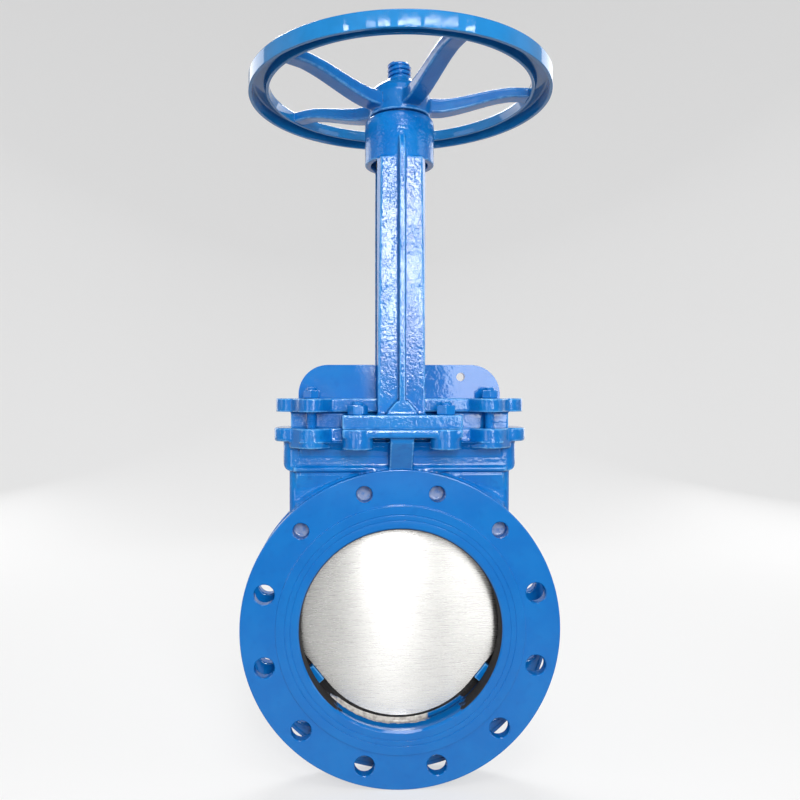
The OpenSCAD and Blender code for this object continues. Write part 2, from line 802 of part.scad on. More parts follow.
// Share of the spoke's rise at a distance from the hub's axis: level, then up, then level again
function spoke_share(r) = min(1, max(0, (r - spoke_rise_start) / (spoke_rise_end - spoke_rise_start)));
function spoke_rise(r) = let (t = spoke_share(r)) 0.4 * t + 0.6 * (3 * t ^ 2 - 2 * t ^ 3);
function spoke_mid(r) = spoke_hub_z + (rim_bottom + 11.5 - spoke_hub_z) * spoke_rise(r);
function spoke_half(r) = (spoke_hub_h + (spoke_rim_h - spoke_hub_h) * spoke_share(r)) / 2;

module spoke() {
    start = hub_d / 2 - 12;
    end = wheel_d / 2 - rim_w + rim_wall / 2;
    steps = 14;
    radii = [for (i = [0:steps]) start + (end - start) * i / steps];
    intersection() {
        translate([0, spoke_hub_w / 2, 0]) rotate([90, 0, 0]) linear_extrude(spoke_hub_w) polygon(concat(
            [for (r = radii) [r, spoke_mid(r) - spoke_half(r)]],
            [for (i = [0:steps]) let (r = radii[steps - i]) [r, spoke_mid(r) + spoke_half(r)]]));
        translate([0, 0, hub_bottom - 10]) linear_extrude(100) polygon([
            [start, -spoke_hub_w / 2], [end, -spoke_rim_w / 2], [end, spoke_rim_w / 2], [start, spoke_hub_w / 2]]);
    }
}

module handwheel() {
    color(paint) translate([0, mid, 0]) difference() {
        union() {
            rotate_extrude() hub_profile();
            rotate_extrude() rim_profile();
            for (i = [0:spokes - 1]) rotate(i * 360 / spokes + 1) spoke();
        }
        translate([0, 0, hub_bottom - through]) cylinder(d = nut_sleeve_d, h = hub_top - 7 - hub_bottom + through);
        translate([0, 0, hub_bottom - through]) cylinder(d = stem_d + 2 * face_gap, h = 100);
    }
}

body_casting();
mirror([1, 0, 0]) wedge();  // wedge_left
wedge();  // wedge_right
seat_ring();
seat_retainer();
packing_rings();
gland();
gland_stud(0);  // gland_stud_1
gland_stud(1);  // gland_stud_2
gland_stud(2);  // gland_stud_3
gland_stud(3);  // gland_stud_4
gland_nut(0);  // gland_nut_1
gland_nut(1);  // gland_nut_2
gland_nut(2);  // gland_nut_3
gland_nut(3);  // gland_nut_4
yoke();
foot_stud(0);  // foot_stud_1
foot_stud(1);  // foot_stud_2
foot_stud(2);  // foot_stud_3
foot_stud(3);  // foot_stud_4
foot_nut(0);  // foot_nut_1
foot_nut(1);  // foot_nut_2
foot_nut(2);  // foot_nut_3
foot_nut(3);  // foot_nut_4
thrust_washer();
gate_plate();
stem();
stem_fork();
fork_bolt(-1);  // fork_bolt_1
fork_bolt(1);  // fork_bolt_2
fork_nut(-1);  // fork_nut_1
fork_nut(1);  // fork_nut_2
stem_nut();
handwheel();
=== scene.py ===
# Flanged knife gate valve: finer shapes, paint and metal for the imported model, and a plain studio.
# Every length is in metres, in the model's own frame: the bore along Y, the stem along Z.
import math

import bmesh
import bpy
import numpy as np
from mathutils import Matrix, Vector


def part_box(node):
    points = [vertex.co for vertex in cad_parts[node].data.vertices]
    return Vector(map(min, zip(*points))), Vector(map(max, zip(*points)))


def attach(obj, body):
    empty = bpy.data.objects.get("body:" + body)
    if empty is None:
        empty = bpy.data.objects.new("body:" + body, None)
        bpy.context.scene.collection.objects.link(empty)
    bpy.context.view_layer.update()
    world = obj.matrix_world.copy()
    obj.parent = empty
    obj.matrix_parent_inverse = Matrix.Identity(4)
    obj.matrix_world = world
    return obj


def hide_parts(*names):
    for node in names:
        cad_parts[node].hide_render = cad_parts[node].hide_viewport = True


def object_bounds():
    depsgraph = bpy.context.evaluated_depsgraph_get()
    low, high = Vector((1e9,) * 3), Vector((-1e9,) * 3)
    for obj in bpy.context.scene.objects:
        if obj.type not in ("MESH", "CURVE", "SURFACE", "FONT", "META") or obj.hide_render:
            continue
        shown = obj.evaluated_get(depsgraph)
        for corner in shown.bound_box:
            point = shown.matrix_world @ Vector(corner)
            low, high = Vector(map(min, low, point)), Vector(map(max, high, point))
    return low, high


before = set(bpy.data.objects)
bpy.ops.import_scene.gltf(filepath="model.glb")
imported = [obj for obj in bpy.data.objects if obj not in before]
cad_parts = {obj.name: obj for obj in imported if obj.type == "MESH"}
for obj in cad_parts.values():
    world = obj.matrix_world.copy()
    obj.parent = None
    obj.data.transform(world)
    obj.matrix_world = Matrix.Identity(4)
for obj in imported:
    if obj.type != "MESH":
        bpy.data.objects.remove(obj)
cad_bounds = [list(corner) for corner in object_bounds()]

bl_info = {
    "name": "Knife gate valve",
    "version": (1, 0, 0),
    "blender": (4, 5, 0),
    "location": "View3D > Sidebar > Valve",
    "description": "Dresses the valve's model with cast and painted surfaces and lights it in a plain studio",
    "category": "Object",
}


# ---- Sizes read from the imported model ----

def middle(node):
    """Centre of a node's box."""
    low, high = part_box(node)
    return [(low[i] + high[i]) / 2 for i in range(3)]


def span(node):
    """Size of a node's box along X, Y and Z."""
    low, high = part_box(node)
    return [high[i] - low[i] for i in range(3)]


MID_Y = middle("gate_plate")[1]
BORE_R = span("seat_ring")[0] / 2
FLANGE_R = span("body_casting")[0] / 2
BOLT_CIRCLE_R = FLANGE_R - 0.025
BODY_REAR = 2 * MID_Y
BOX_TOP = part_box("yoke")[0][2]
FOOT_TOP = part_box("foot_nut_1")[0][2]
CAP_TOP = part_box("yoke")[1][2]
HUB_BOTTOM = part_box("handwheel")[0][2]
HUB_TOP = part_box("handwheel")[1][2]
WHEEL_R = span("handwheel")[0] / 2


# ---- Settings that a user would change ----

def length(name, text, low, high, start):
    return bpy.props.FloatProperty(name=name, description=text, subtype="DISTANCE", unit="LENGTH",
                                   min=low, max=high, default=start)


def level(name, text, start, high=1.0):
    return bpy.props.FloatProperty(name=name, description=text, min=0.0, max=high, default=start)


def power(name, text, start, high=200.0):
    return bpy.props.FloatProperty(name=name, description=text, unit="POWER", min=0.0, max=high, default=start)


def number(name, text, low, high, start):
    return bpy.props.IntProperty(name=name, description=text, min=low, max=high, default=start)


def tint(name, text, start):
    return bpy.props.FloatVectorProperty(name=name, description=text, subtype="COLOR", size=3,
                                         min=0.0, max=1.0, default=start)


class ValvePaintSettings(bpy.types.PropertyGroup):
    colour: tint("Enamel", "Colour of the enamel on the castings", (0.0015, 0.148, 0.5))
    pale: tint("Thin enamel", "Colour where the enamel lies thin", (0.004, 0.188, 0.56))
    # Thick enamel at about half its brightness also darkens the inner corners, partly as pooled enamel and partly
    # as painted shade.
    deep: tint("Thick enamel", "Colour where the enamel has pooled", (0.001, 0.11, 0.41))
    # The edge colour paints a highlight on the edges, partly as thin enamel.
    edge: tint("Edge enamel and highlight", "Colour painted on the edges, as thin enamel and as a highlight", (0.15, 0.46, 0.82))
    ridge: level("Edge paleness", "How far the edges take on the colour of thin enamel and a painted highlight", 0.7)
    peel_size: length("Orange peel size", "Size of the waves in the dried enamel", 0.001, 0.02, 0.006)
    peel_depth: length("Orange peel depth", "Depth of the waves in the dried enamel", 0.0, 0.001, 0.00012)
    sand_size: length("Sand grain size", "Size of the mould's grain under the enamel", 0.0005, 0.01, 0.0035)
    sand_depth: length("Sand grain depth", "Depth of the mould's grain under the enamel", 0.0, 0.002, 0.00055)
    ring_pitch: length(
        "Turned ring pitch", "Distance from one turned ring to the next on the flange faces", 0.0005, 0.01, 0.0024)


class ValveShapeSettings(bpy.types.PropertyGroup):
    body_cell: length("Body cell", "Cell size of the body casting's skin", 0.001, 0.01, 0.0013)
    yoke_cell: length("Yoke cell", "Cell size of the yoke's and the gland's skins", 0.0008, 0.01, 0.0011)
    wheel_cell: length("Handwheel cell", "Cell size of the handwheel's skin", 0.0008, 0.01, 0.0011)
    body_rounding: number(
        "Body rounding", "Passes of smoothing that round the body casting's edges", 0, 60, 5)
    box_rounding: number(
        "Box flange rounding", "Further passes that round the stuffing box's flange and ears", 0, 60, 14)
    foot_rounding: number("Foot rounding", "Further passes that round the yoke's feet", 0, 60, 7)
    yoke_rounding: number(
        "Yoke rounding", "Passes of smoothing that round the yoke's and the gland's edges", 0, 60, 5)
    wheel_rounding: number(
        "Handwheel rounding", "Passes of smoothing that round the handwheel's edges", 0, 60, 7)
    most_faces: number("Most faces", "Most triangles that a skin keeps", 10000, 195000, 165000)


class ValveFlangeSettings(bpy.types.PropertyGroup):
    holes: number("Bolt places", "Number of bolt places round a flange", 8, 16, 12)
    through_r: length("Through hole radius", "Radius of the plain bolt holes", 0.01, 0.016, 0.0129)
    tapped_r: length("Tapped hole radius", "Radius of the four holes under the neck", 0.008, 0.012, 0.0104)
    face_r: length("Raised face radius", "Radius of the flange's raised face", 0.15, 0.17, 0.1575)
    face_step: length("Raised face height", "Height of the raised face", 0.001, 0.004, 0.002)
    thickness: length(
        "Flange thickness", "Distance from the raised face to the flange's back", 0.012, 0.024, 0.016)
    edge: length("Edge rounding", "Rounding of the flange's outer edges", 0.0, 0.003, 0.0012)


class ValveFixingSettings(bpy.types.PropertyGroup):
    nut_cell: length("Nut cell", "Cell size of the enamel's skin over a nut", 0.0003, 0.002, 0.0006)
    thread_depth: length("Stud thread depth", "Depth of the paint-filled thread on the studs", 0.0, 0.001, 0.0004)
    thread_pitch: length(
        "Stud thread pitch", "Distance from one thread to the next on the studs", 0.001, 0.003, 0.002)
    stem_pitch: length(
        "Stem pitch", "Distance from one turn of the stem's thread to the next", 0.004, 0.01, 0.006)
    stem_thread: length("Stem thread depth", "Depth of the stem's thread", 0.001, 0.004, 0.003)


class ValveWheelSettings(bpy.types.PropertyGroup):
    spokes: number("Spokes", "Number of spokes", 3, 8, 5)
    first_angle: bpy.props.FloatProperty(
        name="First spoke", description="Angle of the first spoke from the X axis", subtype="ANGLE",
        unit="ROTATION", default=math.radians(1.0))
    rim_width: length("Rim width", "Width of the rim, inside to outside", 0.015, 0.04, 0.026)
    rim_height: length("Rim height", "Height of the rim's outer wall", 0.012, 0.03, 0.019)
    rim_wall: length("Rim wall", "Thickness of the rim's two walls", 0.003, 0.01, 0.0042)
    rim_rise: length("Rim rise", "Height of the rim's outer lip above the yoke's cap", 0.02, 0.03, 0.025)
    hub_width: length("Hub diameter", "Diameter of the hub", 0.06, 0.09, 0.08)
    hub_spoke: length(
        "Spoke width at the hub", "Width of a spoke where it leaves the hub", 0.015, 0.035, 0.025)
    rim_spoke: length(
        "Spoke width at the rim", "Width of a spoke where it meets the rim", 0.015, 0.035, 0.021)


class ValveStageSettings(bpy.types.PropertyGroup):
    floor: tint("Floor", "Colour of the floor and the backdrop", (0.34, 0.34, 0.34))
    floor_glow: level("Floor paleness", "How much paler the floor and backdrop look", 0.55)
    key: power("Tall softbox", "Power of the tall, narrow softbox in front", 14.8)
    panel: power("Right softbox", "Power of the wide softbox at the right in front", 11.0)
    tube: power("Tubes", "Power of a metre of the tubes above the camera", 1.15, 50.0)
    top: power("Top softbox", "Power of the softbox above", 8.0)
    high: power("High softbox", "Power of the softbox above the camera", 9.0)
    low: power("Low softbox", "Power of the wide, low softbox in front", 0.4)
    fill: power("Left softbox", "Power of the softbox at the left in front", 4.5)
    back: power("Back softboxes", "Power of each low softbox behind the valve", 11.0)
    side: power("Side softboxes", "Power of each softbox at the sides", 3.0)
    world: level("Surroundings", "Brightness of the surroundings", 0.09, 2.0)


# ---- Making node trees ----

def adjust(thing, **values):
    """Sets several of a thing's properties."""
    for name, value in values.items():
        setattr(thing, name, value)
    return thing


class Graph:
    """Adds nodes to a tree and feeds their sockets with constants or links."""

    def __init__(self, tree):
        self.tree = tree
        self.count = 0

    def node(self, kind, settings=None, feeds=None):
        made = adjust(self.tree.nodes.new(kind), **(settings or {}))
        made.location = (180 * (self.count % 12), -260 * (self.count // 12))
        self.count += 1
        for key, value in (feeds or {}).items():
            self.feed(made.inputs[key], value)
        return made

    def feed(self, socket, value):
        if isinstance(value, bpy.types.NodeSocket):
            self.tree.links.new(value, socket)
        else:
            socket.default_value = value

    def math(self, operation, first, second=0.0):
        return self.node("ShaderNodeMath", {"operation": operation}, {0: first, 1: second}).outputs[0]

    def product(self, first, *others):
        for other in others:
            first = self.math("MULTIPLY", first, other)
        return first

    def distance(self, first, second):
        """Length of a step of first along one axis and second along another."""
        return self.math("SQRT", self.math("ADD", self.product(first, first), self.product(second, second)))

    def vector(self, x=0.0, y=0.0, z=0.0):
        return self.node("ShaderNodeCombineXYZ", feeds={0: x, 1: y, 2: z}).outputs[0]

    def ramp(self, value, low, high, out_low=0.0, out_high=1.0):
        """Smooth step from out_low at low to out_high at high."""
        return self.node("ShaderNodeMapRange", {"interpolation_type": "SMOOTHSTEP"}, {
            0: value, 1: low, 2: high, 3: out_low, 4: out_high}).outputs[0]

    def between(self, value, low, high, edge):
        """1 where value lies from low to high, with a soft edge."""
        return self.product(self.ramp(value, low - edge, low), self.ramp(value, high, high + edge, 1.0, 0.0))


class Shade(Graph):
    """A material's tree, with the coordinates and textures that the finishes share."""

    def __init__(self, name):
        self.material = bpy.data.materials.new(name)
        self.material.use_nodes = True
        self.material.node_tree.nodes.clear()
        super().__init__(self.material.node_tree)
        self.place = self.node("ShaderNodeTexCoord").outputs["Object"]
        self.x, self.y, self.z = self.node("ShaderNodeSeparateXYZ", feeds={0: self.place}).outputs
        self.shader = self.node("ShaderNodeBsdfPrincipled")
        self.node("ShaderNodeOutputMaterial", feeds={"Surface": self.shader.outputs[0]})

    def set(self, **sockets):
        """Feeds the shader's sockets, named with _ for a space."""
        for name, value in sockets.items():
            self.feed(self.shader.inputs[name.replace("_", " ")], value)

    def given(self, name):
        """What a socket of the shader is fed with."""
        return self.shader.inputs[name].links[0].from_socket

    def noise(self, size, detail=2.0, stretch=None):
        place = self.place
        if stretch:
            place = self.node("ShaderNodeMapping", feeds={"Vector": place, "Scale": stretch}).outputs[0]
        return self.node("ShaderNodeTexNoise", {"noise_dimensions": "3D"}, {
            "Vector": place, "Scale": 1.0 / size, "Detail": detail}).outputs[0]

    def patches(self, size, detail, low, high, out_low=0.0, out_high=1.0):
        """Patches of a size: out_low where the noise is under low, out_high where it is over high."""
        return self.ramp(self.noise(size, detail), low, high, out_low, out_high)

    def mix(self, share, first, second):
        """Colour between two, by share."""
        first, second = (value if isinstance(value, bpy.types.NodeSocket) else (*value, 1.0)
                         for value in (first, second))
        return self.node("ShaderNodeMix", {"data_type": "RGBA"}, {0: share, 6: first, 7: second}).outputs[2]

    def blend(self, share, first, second):
        """Number between two, by share."""
        return self.node("ShaderNodeMix", {"data_type": "FLOAT"}, {0: share, 2: first, 3: second}).outputs[0]

    def bump(self, height, depth, under=None):
        feeds = {"Height": height, "Distance": depth, "Strength": 1.0}
        if under is not None:
            feeds["Normal"] = under
        return self.node("ShaderNodeBump", feeds=feeds).outputs[0]


class Growth(Graph):
    """A Geometry Nodes tree with named inputs at the given values. It grows one piece of one material."""

    KINDS = ((bpy.types.Object, "Object"), (bpy.types.Material, "Material"), (int, "Int"), (float, "Float"))

    def __init__(self, name, material, values):
        super().__init__(bpy.data.node_groups.new(name, "GeometryNodeTree"))
        self.values = {}
        for label, value in {**values, "Material": material}.items():
            kind = next(kind for types, kind in self.KINDS if isinstance(value, types))
            item = self.tree.interface.new_socket(name=label, in_out="INPUT", socket_type="NodeSocket" + kind)
            self.values[item.identifier] = value
        self.tree.interface.new_socket(name="Geometry", in_out="OUTPUT", socket_type="NodeSocketGeometry")
        self.given = self.node("NodeGroupInput").outputs
        self.material = material

    def shape(self, label):
        """The mesh of the object that an input names."""
        return self.node("GeometryNodeObjectInfo", feeds={"Object": self.given[label]}).outputs["Geometry"]

    def moved(self, geometry, **feeds):
        return self.node("GeometryNodeTransform", feeds={"Geometry": geometry, **feeds}).outputs[0]

    def copies(self, points, shape, **feeds):
        """A copy of a shape at each point."""
        return self.node("GeometryNodeInstanceOnPoints", feeds={
            "Points": points, "Instance": shape, **feeds}).outputs[0]

    def real(self, geometry):
        """Turns copies into mesh of their own."""
        return self.node("GeometryNodeRealizeInstances", feeds={0: geometry}).outputs[0]

    def joined(self, *parts):
        join = self.node("GeometryNodeJoinGeometry")
        for part in parts:
            self.tree.links.new(part, join.inputs[0])
        return join.outputs[0]

    def grow(self, name, geometry):
        """Runs the tree on an empty mesh and keeps the result as a plain piece."""
        shaded = self.node("GeometryNodeSetMaterial", feeds={
            "Geometry": self.real(geometry), "Material": self.given["Material"]})
        self.node("NodeGroupOutput", feeds={0: shaded.outputs[0]})
        piece = show(name, bpy.data.meshes.new(name), self.material)
        modifier = piece.modifiers.new(name, "NODES")
        modifier.node_group = self.tree
        for identifier, value in self.values.items():
            modifier[identifier] = value
        settle(piece)
        bpy.data.node_groups.remove(self.tree)
        return piece


# ---- Finishes ----

ENAMEL_IOR = 1.45
# Reach of the near-black wall round the gate's slot (unpainted casting, and in the slot a painted shadow), the lip
# at its bottom, and where the lip ends at the right
SLOT_R = 0.1344
LIP_R = (0.126, 0.134)
LIP_Y = (0.0225, 0.047)
LIP_TOP = -0.1
LIP_END_X = 0.034


def enamel_colour(s, spread):
    """Enamel of uneven thickness."""
    paint = bpy.context.scene.valve_paint
    colour = s.mix(s.patches(0.05, 3.0, 0.36, 0.66, 0.0, spread), paint.colour, paint.pale)
    return s.mix(s.patches(0.012, 2.0, 0.55, 0.75, 0.0, 0.5 * spread), colour, paint.deep)


def with_ridges(s, colour):
    """Enamel paler on outer edges, as thin enamel and as a painted highlight, and darker in inner corners, as
    pooled enamel and as painted shade.
    """
    paint = bpy.context.scene.valve_paint
    ridge = s.node("ShaderNodeAttribute", {"attribute_name": "ridge"}).outputs["Fac"]
    edge_patches = s.patches(0.007, 2.0, 0.35, 0.6, 0.35, 1.0)
    # Painted highlight: outer edges are mixed towards the pale edge colour, partly as thin enamel.
    edge = s.product(s.ramp(ridge, 50.0, 240.0, 0.0, paint.ridge), edge_patches)
    colour = s.mix(edge, colour, paint.edge)
    # Painted shade: inner corners are darkened, partly as pooled enamel.
    return s.mix(s.ramp(ridge, -260.0, -60.0, 0.8, 0.0), colour, [c * 0.55 for c in paint.deep])


def cast_bump(s, sand, peel):
    """Orange peel over the mould's grain, with a slow swell. The grain is shallower on the body than above it."""
    paint = bpy.context.scene.valve_paint
    swell = s.bump(s.noise(0.022, 1.0), 0.0002)
    depth = s.product(s.patches(0.04, 1.0, 0.4, 0.62, 0.5, 1.0),
                      s.ramp(s.z, BOX_TOP + 0.04, BOX_TOP + 0.07, 0.6, 1.0))
    grain = s.noise(paint.sand_size, 1.6)
    normal = s.bump(s.product(grain, depth), paint.sand_depth * sand, swell)
    return s.bump(s.noise(paint.peel_size, 1.0), paint.peel_depth * peel, normal)


def enamel(name, sand, peel=1.0, spread=1.0):
    """Thick glossy enamel over a casting."""
    s = Shade(name)
    s.set(Base_Color=with_ridges(s, enamel_colour(s, spread)), IOR=ENAMEL_IOR, Normal=cast_bump(s, sand, peel),
          Roughness=s.patches(0.008, 3.0, 0.35, 0.7, 0.06, 0.12))
    return s


def dark_bore_and_slot_shadow(s, colour, gloss, front_y, back_y):
    """Near black round the gate's slot: unpainted casting on the port's wall, and a painted shadow in the slot.
    Enamel has run on to the lowest part, and a pale lip shows there.

    Returns the distance from the bore's axis."""
    radius = s.distance(s.x, s.z)
    uneven = s.math("ADD", radius, s.product(s.noise(0.005, 3.0), 0.0016))
    # Near black on the port's wall, where the casting is unpainted, and in the gate's slot, where it is a painted
    # shadow.
    wall = s.product(s.between(s.y, front_y, back_y, 0.0008), s.ramp(uneven, SLOT_R, SLOT_R + 0.0008, 1.0, 0.0))
    ragged = s.product(s.math("SUBTRACT", s.noise(0.009, 4.0), 0.5), 0.03)
    low = s.ramp(s.math("ADD", s.z, ragged), LIP_TOP - 0.003, LIP_TOP + 0.003, 1.0, 0.0)
    dark_wall_and_slot_shadow = s.product(wall, s.math("SUBTRACT", 1.0, low))
    near_black = s.mix(s.patches(0.0022, 3.0, 0.6, 0.72), (0.008, 0.007, 0.008), (0.07, 0.045, 0.03))
    colour = s.mix(dark_wall_and_slot_shadow, colour, near_black)
    # The lip: the floor of the slot, and a ragged edge of the wall before it
    front = s.math("ADD", s.y, s.product(ragged, 0.35))
    lip = s.product(
        s.between(front, *LIP_Y, 0.0006), low,
        s.ramp(s.math("ADD", s.x, ragged), LIP_END_X, LIP_END_X + 0.006, 1.0, 0.0),
        s.ramp(radius, LIP_R[0], LIP_R[0] + 0.0005), s.ramp(radius, LIP_R[1], LIP_R[1] + 0.001, 1.0, 0.0))
    tone = s.mix(s.patches(0.006, 4.0, 0.4, 0.7), (0.8, 0.76, 0.7), (0.5, 0.46, 0.42))
    s.set(Base_Color=s.mix(lip, colour, tone), Roughness=s.blend(dark_wall_and_slot_shadow, gloss, 0.75))
    return radius


def body_finish():
    """Enamel, near black round the gate's slot, where the casting is unpainted and the slot has a painted shadow,
    and paler where drilled holes end, for steel that the enamel hardly covers and for a painted sheen.
    """
    s = enamel("body enamel", sand=0.9)
    dark_bore_and_slot_shadow(s, s.given("Base Color"), s.given("Roughness"), 0.004, BODY_REAR - 0.004)
    nearest = 1.0
    for degrees in (15, 45):
        beside = s.math("SUBTRACT", s.math("ABSOLUTE", s.x), BOLT_CIRCLE_R * math.sin(math.radians(degrees)))
        above = s.math("SUBTRACT", s.z, BOLT_CIRCLE_R * math.cos(math.radians(degrees)))
        nearest = s.math("MINIMUM", nearest, s.distance(beside, above))
    from_middle = s.math("ABSOLUTE", s.math("SUBTRACT", s.y, MID_Y))
    # Paler where the drilled holes end: partly steel that the enamel hardly covers, partly a painted sheen.
    end = s.product(s.between(from_middle, MID_Y - 0.03, MID_Y - 0.0138, 0.0003),
                    s.ramp(nearest, 0.009, 0.0105, 1.0, 0.0), s.patches(0.005, 3.0, 0.3, 0.6, 0.3, 0.85))
    s.set(Base_Color=s.mix(end, s.given("Base Color"), (0.34, 0.4, 0.54)))
    return s.material


def flange_finish():
    """Smooth enamel over turned faces, with fine rings, and near black on the port's wall, where the casting is
    unpainted.
    """
    pitch = bpy.context.scene.valve_paint.ring_pitch
    s = Shade("flange enamel")
    radius = dark_bore_and_slot_shadow(s, enamel_colour(s, spread=0.45), s.patches(0.01, 3.0, 0.35, 0.7, 0.07, 0.13),
                       0.0019, BODY_REAR - 0.0019)
    wide, fine = (s.math("SINE", s.product(radius, 2 * math.pi / step)) for step in (pitch, pitch * 0.37))
    face = s.math("MAXIMUM", s.ramp(s.y, 0.0022, 0.003, 1.0, 0.0),
                  s.ramp(s.y, BODY_REAR - 0.003, BODY_REAR - 0.0022))
    rings = s.product(s.math("ADD", wide, s.product(fine, 0.5)), s.patches(0.035, 2.0, 0.35, 0.65, 0.3, 1.0), face)
    swell = s.bump(s.noise(0.005, 1.0), 0.00003, s.bump(s.noise(0.03, 1.0), 0.0001))
    s.set(IOR=ENAMEL_IOR, Normal=s.bump(rings, 0.000004, swell))
    return s.material


def rim_finish():
    """Smooth, very glossy enamel, with a fine orange peel only, painted paler and more cyan than the rest of the
    wheel as painted light.
    """
    s = Shade("rim enamel")
    pale = bpy.context.scene.valve_paint.pale
    # Painted light: the rim gets a paler, more cyan enamel than the rest of the wheel, the way it looks where it
    # catches the most light.
    light = [pale[0] * 3.0, pale[1] * 1.1, pale[2] * 0.94]
    tone = s.mix(s.patches(0.02, 2.0, 0.35, 0.7), light, [c * 0.9 for c in light])
    s.set(Base_Color=tone, IOR=ENAMEL_IOR, Normal=s.bump(s.noise(0.006, 1.0), 0.00001),
          Roughness=s.patches(0.01, 2.0, 0.35, 0.7, 0.03, 0.06))
    return s.material


def brushed_steel(name, colour):
    """Brushed stainless steel with the brush lines along X."""
    line_width, line_length = 0.0008, 0.024
    s = Shade(name)
    lines = s.noise(line_width, stretch=(line_width / line_length, 1.0, 1.0))
    smears = s.noise(0.012, 3.0, stretch=(0.4, 1.0, 1.0))
    tone = colour
    for share, dark in ((s.patches(0.05, 4.0, 0.35, 0.7), 0.95), (s.ramp(lines, 0.35, 0.8, 0.0, 0.1), 0.8),
                        (s.ramp(smears, 0.62, 0.8, 0.0, 0.3), 0.85)):
        tone = s.mix(share, tone, [c * dark for c in colour])
    s.set(Base_Color=tone, Metallic=1.0, Normal=s.bump(lines, 0.000003),
          Roughness=s.ramp(lines, 0.2, 0.8, 0.26, 0.29))
    return s


def gate_finish():
    """Brushed steel in the port, enamel on the end that stands out of the gland."""
    s = brushed_steel("gate steel", (0.5, 0.494, 0.48))
    brush = s.node("ShaderNodeTangent", {"direction_type": "UV_MAP", "uv_map": "brush"})
    line = s.math("ADD", s.z, s.product(s.noise(0.012, 3.0), 0.012))
    painted = s.ramp(line, BOX_TOP - 0.002, BOX_TOP + 0.001)
    peel = s.bump(s.noise(0.0028, 1.0), 0.00006, s.bump(s.noise(0.012, 1.0), 0.00012))
    surface = s.node("ShaderNodeMix", {"data_type": "VECTOR"}, {0: painted, 4: s.given("Normal"), 5: peel})
    s.set(Base_Color=s.mix(painted, s.given("Base Color"), enamel_colour(s, spread=0.6)),
          Metallic=s.math("SUBTRACT", 1.0, painted), Roughness=s.blend(painted, s.given("Roughness"), 0.08),
          Normal=surface.outputs[1], Anisotropic=1.0, Tangent=brush.outputs[0], IOR=ENAMEL_IOR)
    return s.material


def seat_finish():
    """Black rubber, grey with dust in places."""
    s = Shade("seat rubber")
    dust = s.patches(0.009, 4.0, 0.45, 0.75)
    s.set(Base_Color=s.mix(dust, (0.012, 0.012, 0.013), (0.05, 0.046, 0.042)),
          Normal=s.bump(s.noise(0.003, 3.0), 0.0002), Roughness=s.ramp(dust, 0.0, 1.0, 0.5, 0.8))
    return s.material


def plain_finish(name, colour, metallic, rough, size=0.003, depth=0.00005):
    s = Shade(name)
    tone = s.mix(s.patches(0.02, 3.0, 0.35, 0.7), colour, [c * 0.8 for c in colour])
    s.set(Base_Color=tone, Metallic=metallic, Roughness=rough, Normal=s.bump(s.noise(size), depth))
    return s.material


FINISHES = {}


def finish_of(name):
    """Makes each finish once, when it is first asked for."""
    makers = {
        "body": body_finish,
        "flange": flange_finish,
        "casting": lambda: enamel("cast enamel", sand=1.25).material,
        "wheel": lambda: enamel("wheel enamel", sand=0.6, peel=0.8, spread=0.8).material,
        "rim": rim_finish,
        "fixing": lambda: enamel("fixing enamel", sand=0.3, peel=0.5, spread=0.7).material,
        "gate": gate_finish,
        "seat": seat_finish,
        "steel": lambda: brushed_steel("small steel", (0.62, 0.62, 0.6)).material,
        "bronze": lambda: plain_finish("nut bronze", (0.52, 0.36, 0.16), 1.0, 0.35),
        "packing": lambda: plain_finish("packing", (0.03, 0.03, 0.032), 0.0, 0.75, 0.0015, 0.0003),
    }
    if name not in FINISHES:
        FINISHES[name] = makers[name]()
    return FINISHES[name]


def coat(finish, *nodes):
    """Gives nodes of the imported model, shown as they are, a finish."""
    for node in nodes:
        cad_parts[node].data.materials[0] = finish_of(finish)


# ---- Making meshes ----

JOIN_WITHIN = 1e-5
LUG_CELL, FORK_CELL = 0.0007, 0.0009
SMALL_CASTING_ROUNDING = 6
NUT_ROUNDING = 3


def crisp(mesh, degrees=32.0):
    """Smooth faces that stay sharp along edges steeper than the angle."""
    mesh.shade_smooth()
    mesh.set_sharp_from_angle(angle=math.radians(degrees))


def show(name, mesh, material):
    """New object at the origin with one material and smooth faces."""
    piece = bpy.data.objects.new(name, mesh)
    bpy.context.scene.collection.objects.link(piece)
    mesh.materials.clear()
    mesh.materials.append(material)
    mesh.shade_smooth()
    return piece


def settle(piece, smooth=True):
    """Turns a piece's modifiers into plain mesh."""
    bpy.context.view_layer.update()
    depsgraph = bpy.context.evaluated_depsgraph_get()
    mesh = bpy.data.meshes.new_from_object(piece.evaluated_get(depsgraph))
    piece.modifiers.clear()
    old = piece.data
    piece.data = mesh
    bpy.data.meshes.remove(old)
    if smooth:
        mesh.shade_smooth()


def modify(piece, kind, smooth=True, **settings):
    """Changes a piece's mesh with one modifier."""
    adjust(piece.modifiers.new(kind.lower(), kind), **settings)
    settle(piece, smooth)


def merged_mesh(node):
    """Mesh of a node's surface, with its loose triangles joined."""
    shape = bmesh.new()
    shape.from_mesh(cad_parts[node].data)
    bmesh.ops.remove_doubles(shape, verts=shape.verts, dist=JOIN_WITHIN)
    mesh = bpy.data.meshes.new("merged")
    shape.to_mesh(mesh)
    shape.free()
    return mesh


def skin(piece, cell, rounding):
    """Rebuilds a solid as one even skin, and rounds its edges and fills its inner corners."""
    adjust(piece.modifiers.new("skin", "REMESH"), mode="VOXEL", voxel_size=cell, adaptivity=0.0)
    modify(piece, "SMOOTH", factor=0.5, iterations=rounding)


def points_of(mesh):
    """Places of a mesh's points as rows of X, Y and Z."""
    points = np.empty(len(mesh.vertices) * 3)
    mesh.vertices.foreach_get("co", points)
    return points.reshape(-1, 3)


